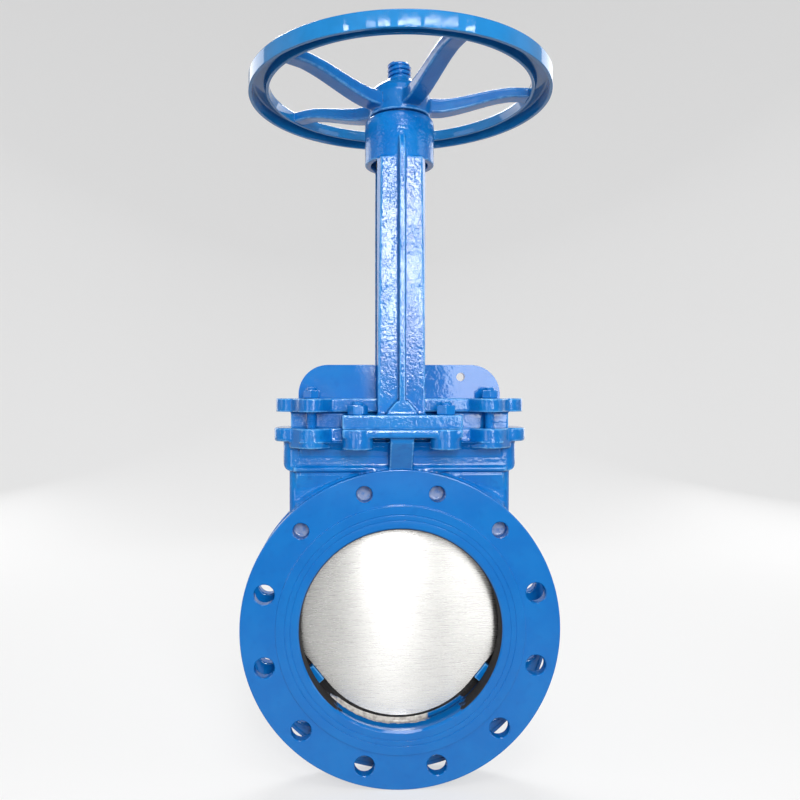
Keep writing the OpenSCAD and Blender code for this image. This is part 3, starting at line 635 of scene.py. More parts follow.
def soften(piece, passes, low, high=1.0):
    """Rounds the edges between two heights further than the rest."""
    heights = points_of(piece.data)[:, 2]
    group = piece.vertex_groups.new(name="softened")
    group.add(np.nonzero((heights > low) & (heights < high))[0].tolist(), 1.0, "REPLACE")
    modify(piece, "SMOOTH", vertex_group=group.name, iterations=passes)
    piece.vertex_groups.clear()


def move_points(piece, points):
    """Moves a piece's points, joins those that come together and drops faces without area."""
    piece.data.vertices.foreach_set("co", points.ravel())
    piece.data.update()
    shape = bmesh.new()
    shape.from_mesh(piece.data)
    bmesh.ops.remove_doubles(shape, verts=shape.verts, dist=JOIN_WITHIN)
    bmesh.ops.dissolve_degenerate(shape, edges=shape.edges, dist=JOIN_WITHIN)
    shape.to_mesh(piece.data)
    shape.free()


def thin_out(piece):
    """Joins faces where the surface is flattest, until few enough are left."""
    most = bpy.context.scene.valve_shapes.most_faces
    count = sum(len(face.vertices) - 2 for face in piece.data.polygons)
    if count > most:
        modify(piece, "DECIMATE", ratio=most / count)


def mark_ridges(piece):
    """Stores how sharply the surface bends at each point: above zero on outer edges, below it in inner corners."""
    mesh = piece.data
    points = points_of(mesh)
    normals = np.empty(points.size)
    mesh.vertices.foreach_get("normal", normals)
    normals = normals.reshape(-1, 3)
    ends = np.empty(len(mesh.edges) * 2, dtype=np.int32)
    mesh.edges.foreach_get("vertices", ends)
    first, second = ends.reshape(-1, 2).T

    def sum_at_points(to_first, to_second):
        """Sum, at each point, of what the edges that meet there bring."""
        return np.bincount(first, to_first, len(points)) + np.bincount(second, to_second, len(points))

    along = points[second] - points[first]
    square = np.maximum(np.sum(along * along, axis=1), 1e-12)
    bend = np.sum(along * (normals[second] - normals[first]), axis=1) / square
    count = np.maximum(sum_at_points(np.ones_like(bend), np.ones_like(bend)), 1)
    ridge = sum_at_points(bend, bend) / count
    near = sum_at_points(ridge[second], ridge[first]) / count
    mesh.attributes.new("ridge", "FLOAT", "POINT").data.foreach_set("value", 0.5 * (ridge + near))


def cast_piece(name, node, cell, rounding, finish, body, softer=None):
    """Rounded, painted skin that stands for one casting. softer says where it is rounded further."""
    piece = show(name, merged_mesh(node), finish_of(finish))
    skin(piece, cell, rounding)
    if softer:
        soften(piece, *softer)
    thin_out(piece)
    mark_ridges(piece)
    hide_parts(node)
    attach(piece, body)


def eased(points, amounts):
    """Outline with corners rounded off, each by its amount."""
    steps = 4
    out = []
    for i, (point, amount) in enumerate(zip(points, amounts)):
        if not amount:
            out.append(point)
            continue
        ends = []
        for other in (points[i - 1], points[(i + 1) % len(points)]):
            share = min(amount / math.hypot(other[0] - point[0], other[1] - point[1]), 0.49)
            ends.append([point[j] + (other[j] - point[j]) * share for j in (0, 1)])
        for t in (k / steps for k in range(steps + 1)):
            out.append(tuple((1 - t) ** 2 * ends[0][j] + 2 * t * (1 - t) * point[j] + t ** 2 * ends[1][j]
                             for j in (0, 1)))
    return out


def lofted_mesh(name, rings, closed=False, capped=False):
    """Mesh of rings of points, each joined to the next. A ring of one point is a tip."""
    shape = bmesh.new()
    rings = [[shape.verts.new(point) for point in ring] for ring in rings]
    for low, high in zip(rings, rings[1:] + (rings[:1] if closed else [])):
        steps = max(len(low), len(high))
        for i in range(steps if steps > 1 else 0):
            j = (i + 1) % steps
            lower = (low[0],) if len(low) == 1 else (low[i], low[j])
            upper = (high[0],) if len(high) == 1 else (high[j], high[i])
            shape.faces.new(lower + upper)
    if capped:
        shape.faces.new(rings[0])
        shape.faces.new(rings[-1])
    bmesh.ops.recalc_face_normals(shape, faces=shape.faces)
    mesh = bpy.data.meshes.new(name)
    shape.to_mesh(mesh)
    shape.free()
    return mesh


def circle(radius, steps):
    angles = [2 * math.pi * i / steps for i in range(steps)]
    return [(radius * math.cos(angle), radius * math.sin(angle)) for angle in angles]


def turned_mesh(name, profile, steps, closed=False, along_y=False):
    """Mesh turned from an outline of (radius, distance along the axis), about Z or Y."""
    rings = []
    for radius, far in profile:
        ring = circle(radius, steps)[:1 if radius < 1e-7 else steps]
        rings.append([(a, far, b) if along_y else (a, b, far) for a, b in ring])
    return lofted_mesh(name, rings, closed)


def hex_nut_mesh(across_flats, height, hole_r):
    """Hexagon nut, from 0 to its height, with chamfered ends and a bore."""
    steps = 72
    lip = across_flats * 0.455
    slope = math.tan(math.radians(30))
    bevel = 0.0006

    def flat(i):
        return across_flats / 2 / math.cos((2 * math.pi * i / steps) % (math.pi / 3) - math.pi / 6)

    outline = [
        (lambda i: hole_r, lambda r: 0.0),
        (lambda i: lip, lambda r: 0.0),
        (flat, lambda r: max(0.0, r - lip) * slope * 0.5),
        (flat, lambda r: height - max(0.0, r - lip) * slope),
        (lambda i: lip, lambda r: height),
        (lambda i: hole_r + bevel, lambda r: height),
        (lambda i: hole_r, lambda r: height - bevel),
    ]
    rings = []
    for radius_at, height_at in outline:
        radii = [radius_at(i) for i in range(steps)]
        rings.append([(r * math.cos(2 * math.pi * i / steps), r * math.sin(2 * math.pi * i / steps), height_at(r))
                      for i, r in enumerate(radii)])
    return lofted_mesh("nut", rings, closed=True)


def stud_mesh(radius, length, depth, pitch):
    """Threaded stud with a chamfered top."""
    profile = [(0.0, 0.0), (radius, 0.0)]
    height = pitch
    while height < length - 2.2 * pitch:
        profile += [(radius, height), (radius - depth, height + pitch * 0.5)]
        height += pitch
    profile += [(radius, length - 1.6 * pitch), (radius, length - 0.0016), (radius - 0.001, length - 0.0004),
                (radius - 0.0018, length), (0.0, length)]
    return turned_mesh("stud", profile, 40)


def rim_mesh(wheel):
    """Rim with a hollow underside, its outer wall reaching lower than its inner one."""
    bottom = CAP_TOP + wheel.rim_rise
    top = bottom + wheel.rim_height
    inner, wall = WHEEL_R - wheel.rim_width, wheel.rim_wall
    inner_bottom, draft = bottom + 0.004, 0.0012
    outline = [
        (WHEEL_R, bottom), (WHEEL_R, bottom + 0.0013), (WHEEL_R, top - 0.003), (WHEEL_R, top), (inner, top),
        (inner + 0.0005, inner_bottom), (inner + wall, inner_bottom), (inner + wall + draft, top - wall),
        (WHEEL_R - wall - draft, top - wall), (WHEEL_R - wall, bottom)]
    ease = [0.0006, 0.0, 0.0, 0.002, 0.004, 0.0012, 0.0012, 0.0025, 0.0025, 0.0006]
    return turned_mesh("rim", eased(outline, ease), 256, closed=True)


def hub_mesh(wheel):
    """Hub with a domed shoulder, bored for the stem nut and the stem."""
    outer = wheel.hub_width / 2
    stem_r = span("stem")[0] / 2 + 0.0003
    sleeve_r, sleeve_top = 0.022, HUB_TOP - 0.007
    outline = [
        (sleeve_r, HUB_BOTTOM), (outer, HUB_BOTTOM), (outer, HUB_TOP - 0.024), (outer - 0.003, HUB_TOP - 0.0155),
        (outer - 0.008, HUB_TOP - 0.0102), (outer - 0.0145, HUB_TOP - 0.0062),
        (stem_r + 0.0045, HUB_TOP - 0.0028), (stem_r + 0.002, HUB_TOP), (stem_r, HUB_TOP), (stem_r, sleeve_top),
        (sleeve_r, sleeve_top)]
    ease = [0.0, 0.0012, 0.003, 0.0025, 0.0025, 0.0025, 0.001, 0.0005, 0.0, 0.0, 0.0]
    return turned_mesh("hub", eased(outline, ease), 128, closed=True)


def spoke_mesh(wheel):
    """Spoke along X that leaves the hub level, rises and meets the rim level, with a rounded oblong section."""
    start, end = wheel.hub_width / 2 - 0.012, WHEEL_R - wheel.rim_width + wheel.rim_wall / 2
    rise_start, rise_end = wheel.hub_width / 2 + 0.012, WHEEL_R - 0.046
    hub_z, rim_z = HUB_BOTTOM + 0.015, CAP_TOP + wheel.rim_rise + 0.0115
    hub_tall, rim_tall = 0.018, 0.013
    steps, draft = 40, 0.0006
    rings = []
    for i in range(steps + 1):
        reach = start + (end - start) * i / steps
        share = min(1.0, max(0.0, (reach - rise_start) / (rise_end - rise_start)))
        z = hub_z + (rim_z - hub_z) * (0.4 * share + 0.6 * (3 * share ** 2 - 2 * share ** 3))
        tall = (hub_tall + (rim_tall - hub_tall) * share) / 2
        wide = (wheel.hub_spoke + (wheel.rim_spoke - wheel.hub_spoke) * (reach - start) / (end - start)) / 2
        section = eased([(-wide, -tall), (wide, -tall), (wide - draft, tall), (-wide + draft, tall)],
                        [0.0022, 0.0022, 0.004, 0.004])
        rings.append([(reach, y, z + h) for y, h in section])
    return lofted_mesh("spoke", rings, capped=True)


def flange_disc_mesh(flange):
    """One flange: the raised face with two gasket grooves, the rim, the back and the port's wall."""
    step, back = flange.face_step, flange.thickness
    wall, wall_end = BORE_R - 0.0002, 0.0243
    groove, half = 0.0006, 0.0006
    inset = 0.0012
    outline = [(wall, 0.0025), (BORE_R + 0.0025, 0.0)]
    ease = [0.0, 0.0005]
    for ring in (0.139, 0.146):
        outline += [(ring + half * side, deep)
                    for side, deep in ((-1, 0.0), (-0.6, groove), (0.6, groove), (1, 0.0))]
        ease += [0.0002, 0.0, 0.0, 0.0002]
    outline += [
        (0.1475, 0.0), (flange.face_r - inset, 0.0), (flange.face_r, 0.0), (flange.face_r + 0.0004, step),
        (flange.face_r + 0.0016, step), (FLANGE_R - flange.edge - inset, step), (FLANGE_R, step), (FLANGE_R, back),
        (FLANGE_R - 0.0055, back), (FLANGE_R - 0.0065, back - 0.0006), (wall + 0.006, back - 0.0006),
        (wall + 0.006, wall_end), (wall, wall_end)]
    ease += [0.0, 0.0, 0.0005, 0.0005, 0.0, 0.0, flange.edge, flange.edge, 0.0, 0.0, 0.0, 0.0, 0.0005]
    return turned_mesh("disc", eased(outline, ease), 240, closed=True, along_y=True)


def drill_mesh(radius, step):
    """Cutter for a bolt hole, wider at the mouth for its chamfer."""
    mouth, start, end = radius + 0.0009, -0.01, 0.03
    return turned_mesh("drill", [
        (0.0, start), (mouth, start), (mouth, step + 0.0001), (radius, step + 0.001), (radius, end), (0.0, end)],
        48, along_y=True)


def stem_core_mesh(radius, core_r, low, start, high):
    """Plain shank below the thread, core inside it and a chamfered end."""
    core = turned_mesh("stem_core", [
        (0.0, low), (radius, low), (radius, start - 0.002), (core_r, start + 0.001), (core_r, high - 0.0035),
        (core_r + 0.0015, high - 0.003), (core_r + 0.0012, high - 0.0008), (core_r + 0.0004, high), (0.0, high)],
        72)
    core.transform(Matrix.Translation((0.0, MID_Y, 0.0)))
    return core


# ---- What repeats, grown with Geometry Nodes ----

def at_corners(name, mesh, nodes, height, turn, seed, cell=0.0):
    """A shape at the places of four like nodes, each turned by its own angle, as one piece that stands for them."""
    centres = [middle(node) for node in nodes]
    wide, deep = (max(c[axis] for c in centres) - min(c[axis] for c in centres) for axis in (0, 1))
    pattern = show(name + "_shape", mesh, finish_of("fixing"))
    g = Growth("four corners", finish_of("fixing"), {
        "Shape": pattern, "Width": wide, "Depth": deep, "Middle Y": MID_Y, "Height": height, "Turn": turn,
        "Seed": seed})
    corners = g.node("GeometryNodeMeshGrid", feeds={
        "Size X": g.given["Width"], "Size Y": g.given["Depth"], "Vertices X": 2, "Vertices Y": 2}).outputs[0]
    places = g.moved(corners, Translation=g.vector(y=g.given["Middle Y"], z=g.given["Height"]))
    angle = g.node("FunctionNodeRandomValue", {"data_type": "FLOAT"}, {
        2: 0.0, 3: g.given["Turn"], 8: g.given["Seed"]}).outputs[1]
    piece = g.grow(name, g.copies(places, g.shape("Shape"), Rotation=g.vector(z=angle)))
    bpy.data.objects.remove(pattern)
    if cell:
        skin(piece, cell, NUT_ROUNDING)
    else:
        crisp(piece.data)
    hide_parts(*nodes)
    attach(piece, "valve_body")


def drilled_flanges(disc, plain_drill, blind_drill, holes):
    """Drills a turned disc at its bolt places, and sets a second one back to back with it."""
    g = Growth("drilled flanges", finish_of("flange"), {
        "Disc": disc, "Plain drill": plain_drill, "Blind drill": blind_drill, "Holes": holes,
        "Circle radius": BOLT_CIRCLE_R, "Back": BODY_REAR})
    circle_r = g.given["Circle radius"]
    ring = g.node("GeometryNodeMeshCircle", feeds={"Vertices": g.given["Holes"], "Radius": circle_r}).outputs[0]
    half_step = g.math("DIVIDE", math.pi, g.given["Holes"])
    upright = g.moved(ring, Rotation=g.vector(math.pi / 2, half_step))
    place = g.node("GeometryNodeInputPosition")
    height = g.node("ShaderNodeSeparateXYZ", feeds={0: place.outputs[0]}).outputs[2]
    top_four = g.node("FunctionNodeCompare", {"data_type": "FLOAT", "operation": "GREATER_THAN"}, {
        0: height, 1: g.product(circle_r, 0.5)})
    others = g.node("FunctionNodeBooleanMath", {"operation": "NOT"}, {0: top_four.outputs[0]})
    cutters = g.joined(*(
        g.real(g.copies(upright, g.shape(drill), Selection=choice.outputs[0]))
        for drill, choice in (("Plain drill", others), ("Blind drill", top_four))))
    front = g.node("GeometryNodeMeshBoolean", {"operation": "DIFFERENCE", "solver": "EXACT"}, {
        "Mesh 1": g.shape("Disc"), "Mesh 2": cutters}).outputs[0]
    rear = g.moved(front, Rotation=g.vector(z=math.pi), Translation=g.vector(y=g.given["Back"]))
    return g.grow("flange_discs", g.joined(front, rear))


def spoked_wheel(hub, rim, spoke, wheel):
    """Sets spokes round a hub and joins them with the rim."""
    g = Growth("spoked wheel", finish_of("wheel"), {
        "Hub": hub, "Rim": rim, "Spoke": spoke, "Spokes": wheel.spokes, "First angle": wheel.first_angle,
        "Middle Y": MID_Y})
    points = g.node("GeometryNodePoints", feeds={"Count": g.given["Spokes"]}).outputs[0]
    index = g.node("GeometryNodeInputIndex").outputs[0]
    step = g.math("DIVIDE", 2 * math.pi, g.given["Spokes"])
    angle = g.math("ADD", g.product(index, step), g.given["First angle"])
    spokes = g.copies(points, g.shape("Spoke"), Rotation=g.vector(z=angle))
    joined = g.joined(spokes, g.shape("Hub"), g.shape("Rim"))
    return g.grow("wheel_skin", g.moved(joined, Translation=g.vector(y=g.given["Middle Y"])))


def stem_thread(radius, start, end, sizes):
    """Left-hand trapezoid thread, swept along a helix."""
    g = Growth("stem thread", finish_of("fixing"), {
        "Turns": (end - start) / sizes.stem_pitch, "Radius": radius, "Depth": sizes.stem_thread,
        "Pitch": sizes.stem_pitch, "Start": start, "Middle Y": MID_Y})
    pitch, depth, turns = g.given["Pitch"], g.given["Depth"], g.given["Turns"]
    core = g.math("SUBTRACT", g.given["Radius"], depth)
    middle_r = g.math("ADD", core, g.product(depth, 0.45))
    helix = g.node("GeometryNodeCurveSpiral", feeds={
        "Resolution": 36, "Rotations": turns, "Start Radius": middle_r, "End Radius": middle_r,
        "Height": g.product(turns, pitch), "Reverse": True})
    upright = g.node("GeometryNodeSetCurveNormal", {"mode": "Z_UP"}, {"Curve": helix.outputs[0]})
    tooth = g.node("GeometryNodeCurvePrimitiveQuadrilateral", {"mode": "TRAPEZOID"}, {
        "Height": g.product(depth, 1.1), "Bottom Width": g.product(pitch, 0.68),
        "Top Width": g.product(pitch, 0.3), "Offset": 0.0})
    swept = g.node("GeometryNodeCurveToMesh", feeds={
        "Curve": upright.outputs[0], "Profile Curve": tooth.outputs[0], "Fill Caps": True})
    moved = g.moved(swept.outputs[0], Translation=g.vector(y=g.given["Middle Y"], z=g.given["Start"]))
    return g.grow("stem_thread", moved)


# ---- Operators: one for each piece or group of like pieces ----

class VALVE_OT_body(bpy.types.Operator):
    """Dress the body casting between the flanges with a rounded, painted skin"""
    bl_idname = "valve.body"
    bl_label = "Body casting"

    def execute(self, context):
        shapes = context.scene.valve_shapes
        thickness = context.scene.valve_flange.thickness
        neck_bottom, hollow_depth, ear_height = 0.14, 0.0075, 0.0165
        under, inset, reach = thickness - 0.0015, FLANGE_R - 0.002, FLANGE_R + 0.0012
        piece = show("body_skin", merged_mesh("body_casting"), finish_of("body"))
        skin(piece, shapes.body_cell, shapes.body_rounding)
        soften(piece, shapes.box_rounding, BOX_TOP - ear_height)
        # The turned discs cover the flanges, so here the skin draws back inside them,
        # apart from the hollow that joins the rim's top with the chamber
        points = points_of(piece.data)
        for face, inward in ((0.0, 1.0), (BODY_REAR, -1.0)):
            depth = (points[:, 1] - face) * inward
            radius = np.hypot(points[:, 0], points[:, 2])
            hollow = (points[:, 2] > neck_bottom) & (radius > FLANGE_R - 0.0008)
            plate = (radius < reach) & (depth < under)
            edge = (radius > inset) & (radius < reach) & (depth < thickness + 0.0005)
            edge &= plate | (points[:, 2] < neck_bottom)
            depth[plate] = np.where(hollow[plate], np.maximum(depth[plate], hollow_depth), under)
            points[:, 1] = face + depth * inward
            for axis in (0, 2):
                points[edge, axis] *= inset / radius[edge]
        move_points(piece, points)
        thin_out(piece)
        mark_ridges(piece)
        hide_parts("body_casting")
        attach(piece, "valve_body")
        for node in ("wedge_left", "wedge_right"):
            cast_piece(node + "_skin", node, LUG_CELL, SMALL_CASTING_ROUNDING, "fixing", "valve_body")
        return {"FINISHED"}


class VALVE_OT_flanges(bpy.types.Operator):
    """Make the turned and drilled discs of the two flanges"""
    bl_idname = "valve.flanges"
    bl_label = "Flanges"

    def execute(self, context):
        flange = context.scene.valve_flange
        meshes = (flange_disc_mesh(flange), drill_mesh(flange.through_r, flange.face_step),
                  drill_mesh(flange.tapped_r, flange.face_step))
        parts = [show(mesh.name, mesh, finish_of("flange")) for mesh in meshes]
        piece = drilled_flanges(*parts, flange.holes)
        for part in parts:
            bpy.data.objects.remove(part)
        crisp(piece.data)
        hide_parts("body_casting")
        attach(piece, "valve_body")
        return {"FINISHED"}


class VALVE_OT_yoke(bpy.types.Operator):
    """Dress the yoke with a rounded, painted skin"""
    bl_idname = "valve.yoke"
    bl_label = "Yoke"

    def execute(self, context):
        shapes = context.scene.valve_shapes
        cast_piece("yoke_skin", "yoke", shapes.yoke_cell, shapes.yoke_rounding, "casting", "valve_body",
                   softer=(shapes.foot_rounding, 0.0, FOOT_TOP + 0.003))
        return {"FINISHED"}


class VALVE_OT_gland(bpy.types.Operator):
    """Dress the gland with a rounded, painted skin, and finish the packing"""
    bl_idname = "valve.gland"
    bl_label = "Gland"

    def execute(self, context):
        shapes = context.scene.valve_shapes
        cast_piece("gland_skin", "gland", shapes.yoke_cell, shapes.yoke_rounding, "casting", "valve_body")
        coat("packing", "packing_rings")
        return {"FINISHED"}


class VALVE_OT_fixings(bpy.types.Operator):
    """Make the chamfered nuts and the threaded studs of the gland and the yoke's feet"""
    bl_idname = "valve.fixings"
    bl_label = "Nuts and studs"

    def execute(self, context):
        sizes = context.scene.valve_fixings
        for group, turn, seed in (("gland", 0.5, 3), ("foot", 0.35, 8)):
            nuts = [f"{group}_nut_{i}" for i in range(1, 5)]
            studs = [f"{group}_stud_{i}" for i in range(1, 5)]
            radius = span(studs[0])[0] / 2
            wide, deep, height = span(nuts[0])
            nut = hex_nut_mesh(min(wide, deep), height, radius - 0.0004)
            at_corners(f"{group}_nuts", nut, nuts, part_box(nuts[0])[0][2], turn, seed, sizes.nut_cell)
            stud = stud_mesh(radius, span(studs[0])[2], sizes.thread_depth, sizes.thread_pitch)
            at_corners(f"{group}_studs", stud, studs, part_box(studs[0])[0][2], 0.0, seed)
        return {"FINISHED"}


class VALVE_OT_gate(bpy.types.Operator):
    """Dress the gate plate: brushed in the port, painted where it stands out of the gland"""
    bl_idname = "valve.gate"
    bl_label = "Gate plate"

    def execute(self, context):
        piece = show("gate_skin", merged_mesh("gate_plate"), finish_of("gate"))
        modify(piece, "DECIMATE", decimate_type="DISSOLVE", angle_limit=math.radians(1.0))
        modify(piece, "BEVEL", width=0.0009, segments=3, limit_method="ANGLE", angle_limit=math.radians(40.0))
        crisp(piece.data)
        modify(piece, "WEIGHTED_NORMAL", smooth=False, keep_sharp=True)
        # The brush lines lie along X, so the highlight spreads along Z
        brush = piece.data.uv_layers.new(name="brush")
        for loop in piece.data.loops:
            place = piece.data.vertices[loop.vertex_index].co
            brush.data[loop.index].uv = (place.z, place.x)
        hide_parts("gate_plate")
        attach(piece, "gate")
        return {"FINISHED"}


class VALVE_OT_stem(bpy.types.Operator):
    """Make the stem with its left-hand trapezoid thread, and dress the fork"""
    bl_idname = "valve.stem"
    bl_label = "Stem and fork"

    def execute(self, context):
        sizes = context.scene.valve_fixings
        low, high = (corner[2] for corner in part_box("stem"))
        radius = span("stem")[0] / 2
        shank, thread_end = 0.012, 0.002
        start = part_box("stem_fork")[1][2] + shank
        thread = stem_thread(radius, start, high - thread_end, sizes)
        core = show("stem_core", stem_core_mesh(radius, radius - sizes.stem_thread, low, start, high),
                    finish_of("fixing"))
        crisp(core.data)
        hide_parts("stem")
        for piece in (core, thread):
            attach(piece, "gate")
        cast_piece("fork_skin", "stem_fork", FORK_CELL, SMALL_CASTING_ROUNDING, "casting", "gate")
        coat("fixing", "fork_bolt_1", "fork_bolt_2", "fork_nut_1", "fork_nut_2")
        return {"FINISHED"}


class VALVE_OT_seat(bpy.types.Operator):
    """Finish the seat ring, its retainer and the thrust washer"""
    bl_idname = "valve.seat"
    bl_label = "Seat and washer"

    def execute(self, context):
        coat("seat", "seat_ring")
        coat("steel", "seat_retainer", "thrust_washer")
        return {"FINISHED"}


class VALVE_OT_handwheel(bpy.types.Operator):
    """Make the handwheel: a hollow rim, a domed hub and rising spokes, under one coat of enamel"""
    bl_idname = "valve.handwheel"
    bl_label = "Handwheel"

    def execute(self, context):
        wheel = context.scene.valve_wheel
        shapes = context.scene.valve_shapes
        hub, rim, spoke = (show(mesh.name, mesh, finish_of("wheel"))
                           for mesh in (hub_mesh(wheel), rim_mesh(wheel), spoke_mesh(wheel)))
        piece = spoked_wheel(hub, rim, spoke, wheel)
        for part in (hub, spoke):
            bpy.data.objects.remove(part)
        skin(piece, shapes.wheel_cell, shapes.wheel_rounding)
        # The turned rim covers the skin's own, which draws back inside the rim's inner wall
        inner, bottom = WHEEL_R - wheel.rim_width, CAP_TOP + wheel.rim_rise
        points = points_of(piece.data)
        radius = np.hypot(points[:, 0], points[:, 1] - MID_Y)
        hidden = radius > inner - 0.0003
        for axis, centre in ((0, 0.0), (1, MID_Y)):
            points[hidden, axis] = centre + (points[hidden, axis] - centre) * (inner + 0.001) / radius[hidden]
        points[hidden, 2] = np.clip(points[hidden, 2], bottom + 0.006, bottom + wheel.rim_height - 0.004)
        move_points(piece, points)
        thin_out(piece)
        mark_ridges(piece)
        rim.name = "wheel_rim"
        rim.data.transform(Matrix.Translation((0.0, MID_Y, 0.0)))
        rim.data.materials[0] = finish_of("rim")
        crisp(rim.data, 50.0)
        for part in (piece, rim):
            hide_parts("handwheel")
            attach(part, "wheel")
        coat("bronze", "stem_nut")
        return {"FINISHED"}


# ---- Stage ----

WALL_R, WALL_TOP, BEND_R = 2.7, 3.6, 1.0
CAMERA_PLACE = (-0.0642, -0.907, 0.3008)
CAMERA_TURN = (math.pi / 2 - 0.014, 0.0, -0.031)
# Each tube's middle, width and share of the power
TUBES = (
    ((-1.164, -1.378, 1.504), 0.111, 1.0), ((-0.702, -1.658, 1.512), 0.2, 0.4),
    ((-0.444, -1.748, 1.514), 0.252, 1.0), ((0.079, -1.79, 1.514), 0.47, 1.0), ((0.56, -1.685, 1.509), 0.35, 0.8),
    ((0.89, -1.53, 1.503), 0.35, 0.7), ((1.264, -1.273, 1.495), 0.211, 1.0))
TUBE_HEIGHT = 0.018


def softbox(name, place, aim, size_x, size_y, power):
    """Lamp at a place, turned to a point, that the camera doesn't see."""
    light = adjust(bpy.data.lights.new(name, "AREA"), shape="RECTANGLE", size=size_x, size_y=size_y, energy=power)
    x, y, z = (aim[i] - place[i] for i in range(3))
    yaw, pitch = math.atan2(y, x), math.atan2(z, math.hypot(x, y))
    bpy.context.scene.collection.objects.link(adjust(
        bpy.data.objects.new(name, light), location=place, visible_camera=False,
        rotation_euler=(math.pi / 2 + pitch, 0.0, yaw - math.pi / 2)))


def floor_finish(stage):
    """Pale paper that looks paler still to the camera and in reflections, with a darker strip in front."""
    s = Shade("floor paper")
    paths = s.node("ShaderNodeLightPath").outputs
    seen = s.math("MAXIMUM", s.math("MAXIMUM", paths["Is Camera Ray"], paths["Is Glossy Ray"]),
                  paths["Is Transmission Ray"])
    light = s.math("MAXIMUM", s.ramp(s.y, -1.0, -0.05, 0.38, 1.0), s.ramp(s.y, -2.4, -1.6, 0.9, 0.38))
    s.set(Base_Color=s.mix(light, (0.0, 0.0, 0.0), stage.floor), Roughness=0.9, Specular_IOR_Level=0.0,
          Emission_Color=(1.0, 1.0, 1.0, 1.0),
          Emission_Strength=s.product(seen, s.product(light, stage.floor_glow)))
    return s.material


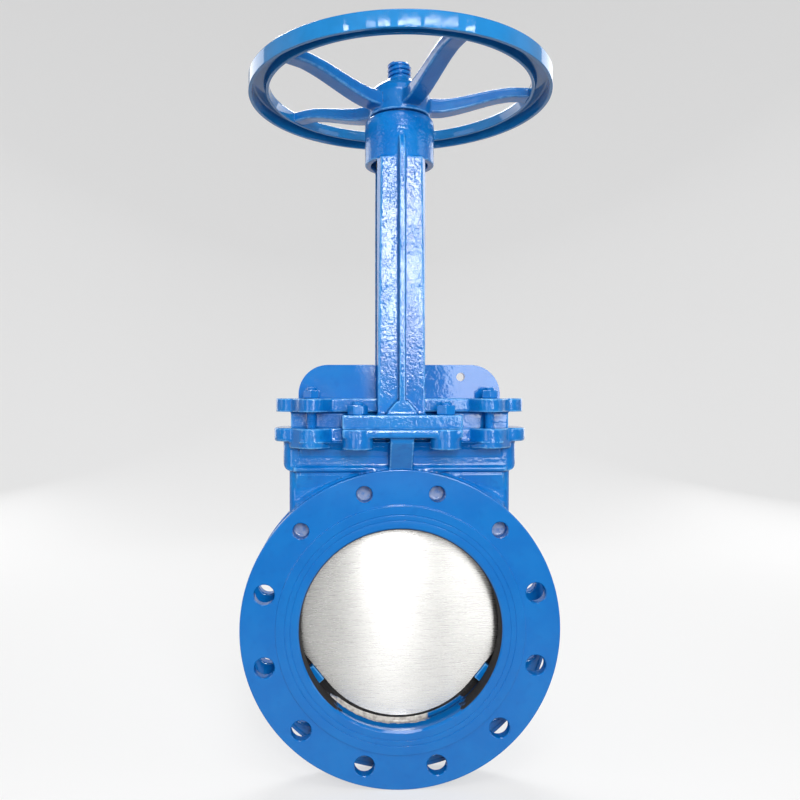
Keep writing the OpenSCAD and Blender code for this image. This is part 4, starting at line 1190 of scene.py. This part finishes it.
class VALVE_OT_stage(bpy.types.Operator):
    """Lay the floor and backdrop, hang the softboxes and set the camera"""
    bl_idname = "valve.stage"
    bl_label = "Floor, lights and camera"

    def execute(self, context):
        scene = context.scene
        stage = scene.valve_stage
        floor_z = cad_bounds[0][2]
        floor_r = WALL_R - BEND_R
        profile = [(0.0, floor_z), (floor_r, floor_z)]
        for angle in (math.radians(90 * i / 24) for i in range(1, 25)):
            profile.append((floor_r + BEND_R * math.sin(angle), floor_z + BEND_R - BEND_R * math.cos(angle)))
        mesh = turned_mesh("floor", profile + [(WALL_R, floor_z + WALL_TOP)], 96)
        mesh.flip_normals()
        show("floor", mesh, floor_finish(stage))
        lamps = [
            ("tall_softbox", (0.09, -1.7, 0.8), (0.0, 0.0, 0.45), 0.2, 0.7, stage.key),
            ("right_panel", (0.483, -1.7, 0.585), (0.0, 0.0, 0.35), 0.4, 0.93, stage.panel),
            ("left_panel", (-0.16, -1.7, 0.155), (-0.1, 0.0, 0.2), 0.13, 0.08, stage.panel * 0.03),
            ("low_panel", (0.1, -1.7, 0.07), (0.1, 0.0, 0.2), 1.4, 0.25, stage.low),
            ("left_fill", (-0.95, -1.45, 0.35), (0.0, 0.0, 0.2), 0.5, 1.0, stage.fill)]
        lamps += [("tube", (x, y, z - TUBE_HEIGHT / 2), (x * 0.04, -0.156, 0.681), width, TUBE_HEIGHT,
                   stage.tube * width * part) for (x, y, z), width, part in TUBES]
        lamps += [
            ("high_softbox", (0.1, -1.3, 2.0), (0.0, 0.0, 0.6), 1.0, 0.4, stage.high),
            ("top_softbox", (0.1, -1.45, 2.6), (0.1, -1.449, 0.0), 0.8, 2.1, stage.top),
            ("back_high", (0.0, 1.6, 2.0), (0.0, 0.07, 0.4), 1.2, 0.5, stage.back * 2.6)]
        lamps += [("back_softbox", (x, 1.3, 0.8), (0.0, 0.07, 0.25), 1.0, 1.6, stage.back) for x in (-1.4, 1.4)]
        lamps += [("side_softbox", (x, -0.5, 0.7), (0.0, 0.03, 0.3), 0.6, 1.0, stage.side) for x in (-1.5, 1.5)]
        for lamp in lamps:
            softbox(*lamp)
        scene.world = bpy.data.worlds.new("surroundings")
        scene.world.use_nodes = True
        background = scene.world.node_tree.nodes["Background"]
        background.inputs[0].default_value = (0.93, 0.95, 1.0, 1.0)
        background.inputs[1].default_value = stage.world
        view = adjust(bpy.data.cameras.new("camera"), sensor_width=36.0, lens=32.71, shift_x=0.0346,
                      shift_y=0.002, clip_end=50.0)
        scene.camera = adjust(bpy.data.objects.new("camera", view), location=CAMERA_PLACE,
                              rotation_euler=CAMERA_TURN)
        scene.collection.objects.link(scene.camera)
        scene.view_settings.view_transform = "Standard"
        return {"FINISHED"}


STEPS = (VALVE_OT_body, VALVE_OT_flanges, VALVE_OT_yoke, VALVE_OT_gland, VALVE_OT_fixings, VALVE_OT_gate,
         VALVE_OT_stem, VALVE_OT_seat, VALVE_OT_handwheel, VALVE_OT_stage)
SETTINGS = {
    "valve_paint": ValvePaintSettings, "valve_shapes": ValveShapeSettings, "valve_flange": ValveFlangeSettings,
    "valve_fixings": ValveFixingSettings, "valve_wheel": ValveWheelSettings, "valve_stage": ValveStageSettings}


class VALVE_PT_sidebar(bpy.types.Panel):
    """Lists the valve's settings and the steps that make it"""
    bl_label = "Knife gate valve"
    bl_idname = "VALVE_PT_sidebar"
    bl_space_type = "VIEW_3D"
    bl_region_type = "UI"
    bl_category = "Valve"

    def draw(self, context):
        layout = self.layout
        for name in SETTINGS:
            group = getattr(context.scene, name)
            box = layout.box()
            for key in group.bl_rna.properties.keys():
                if key not in ("rna_type", "name"):
                    box.prop(group, key)
        for step in STEPS:
            layout.operator(step.bl_idname)


def register():
    for name, group in SETTINGS.items():
        bpy.utils.register_class(group)
        setattr(bpy.types.Scene, name, bpy.props.PointerProperty(type=group))
    for step in STEPS:
        bpy.utils.register_class(step)
    bpy.utils.register_class(VALVE_PT_sidebar)


def unregister():
    bpy.utils.unregister_class(VALVE_PT_sidebar)
    for step in reversed(STEPS):
        bpy.utils.unregister_class(step)
    for name, group in SETTINGS.items():
        delattr(bpy.types.Scene, name)
        bpy.utils.unregister_class(group)


def main():
    register()
    for step in STEPS:
        family, name = step.bl_idname.split(".")
        getattr(getattr(bpy.ops, family), name)()


if __name__ == "__main__":
    main()
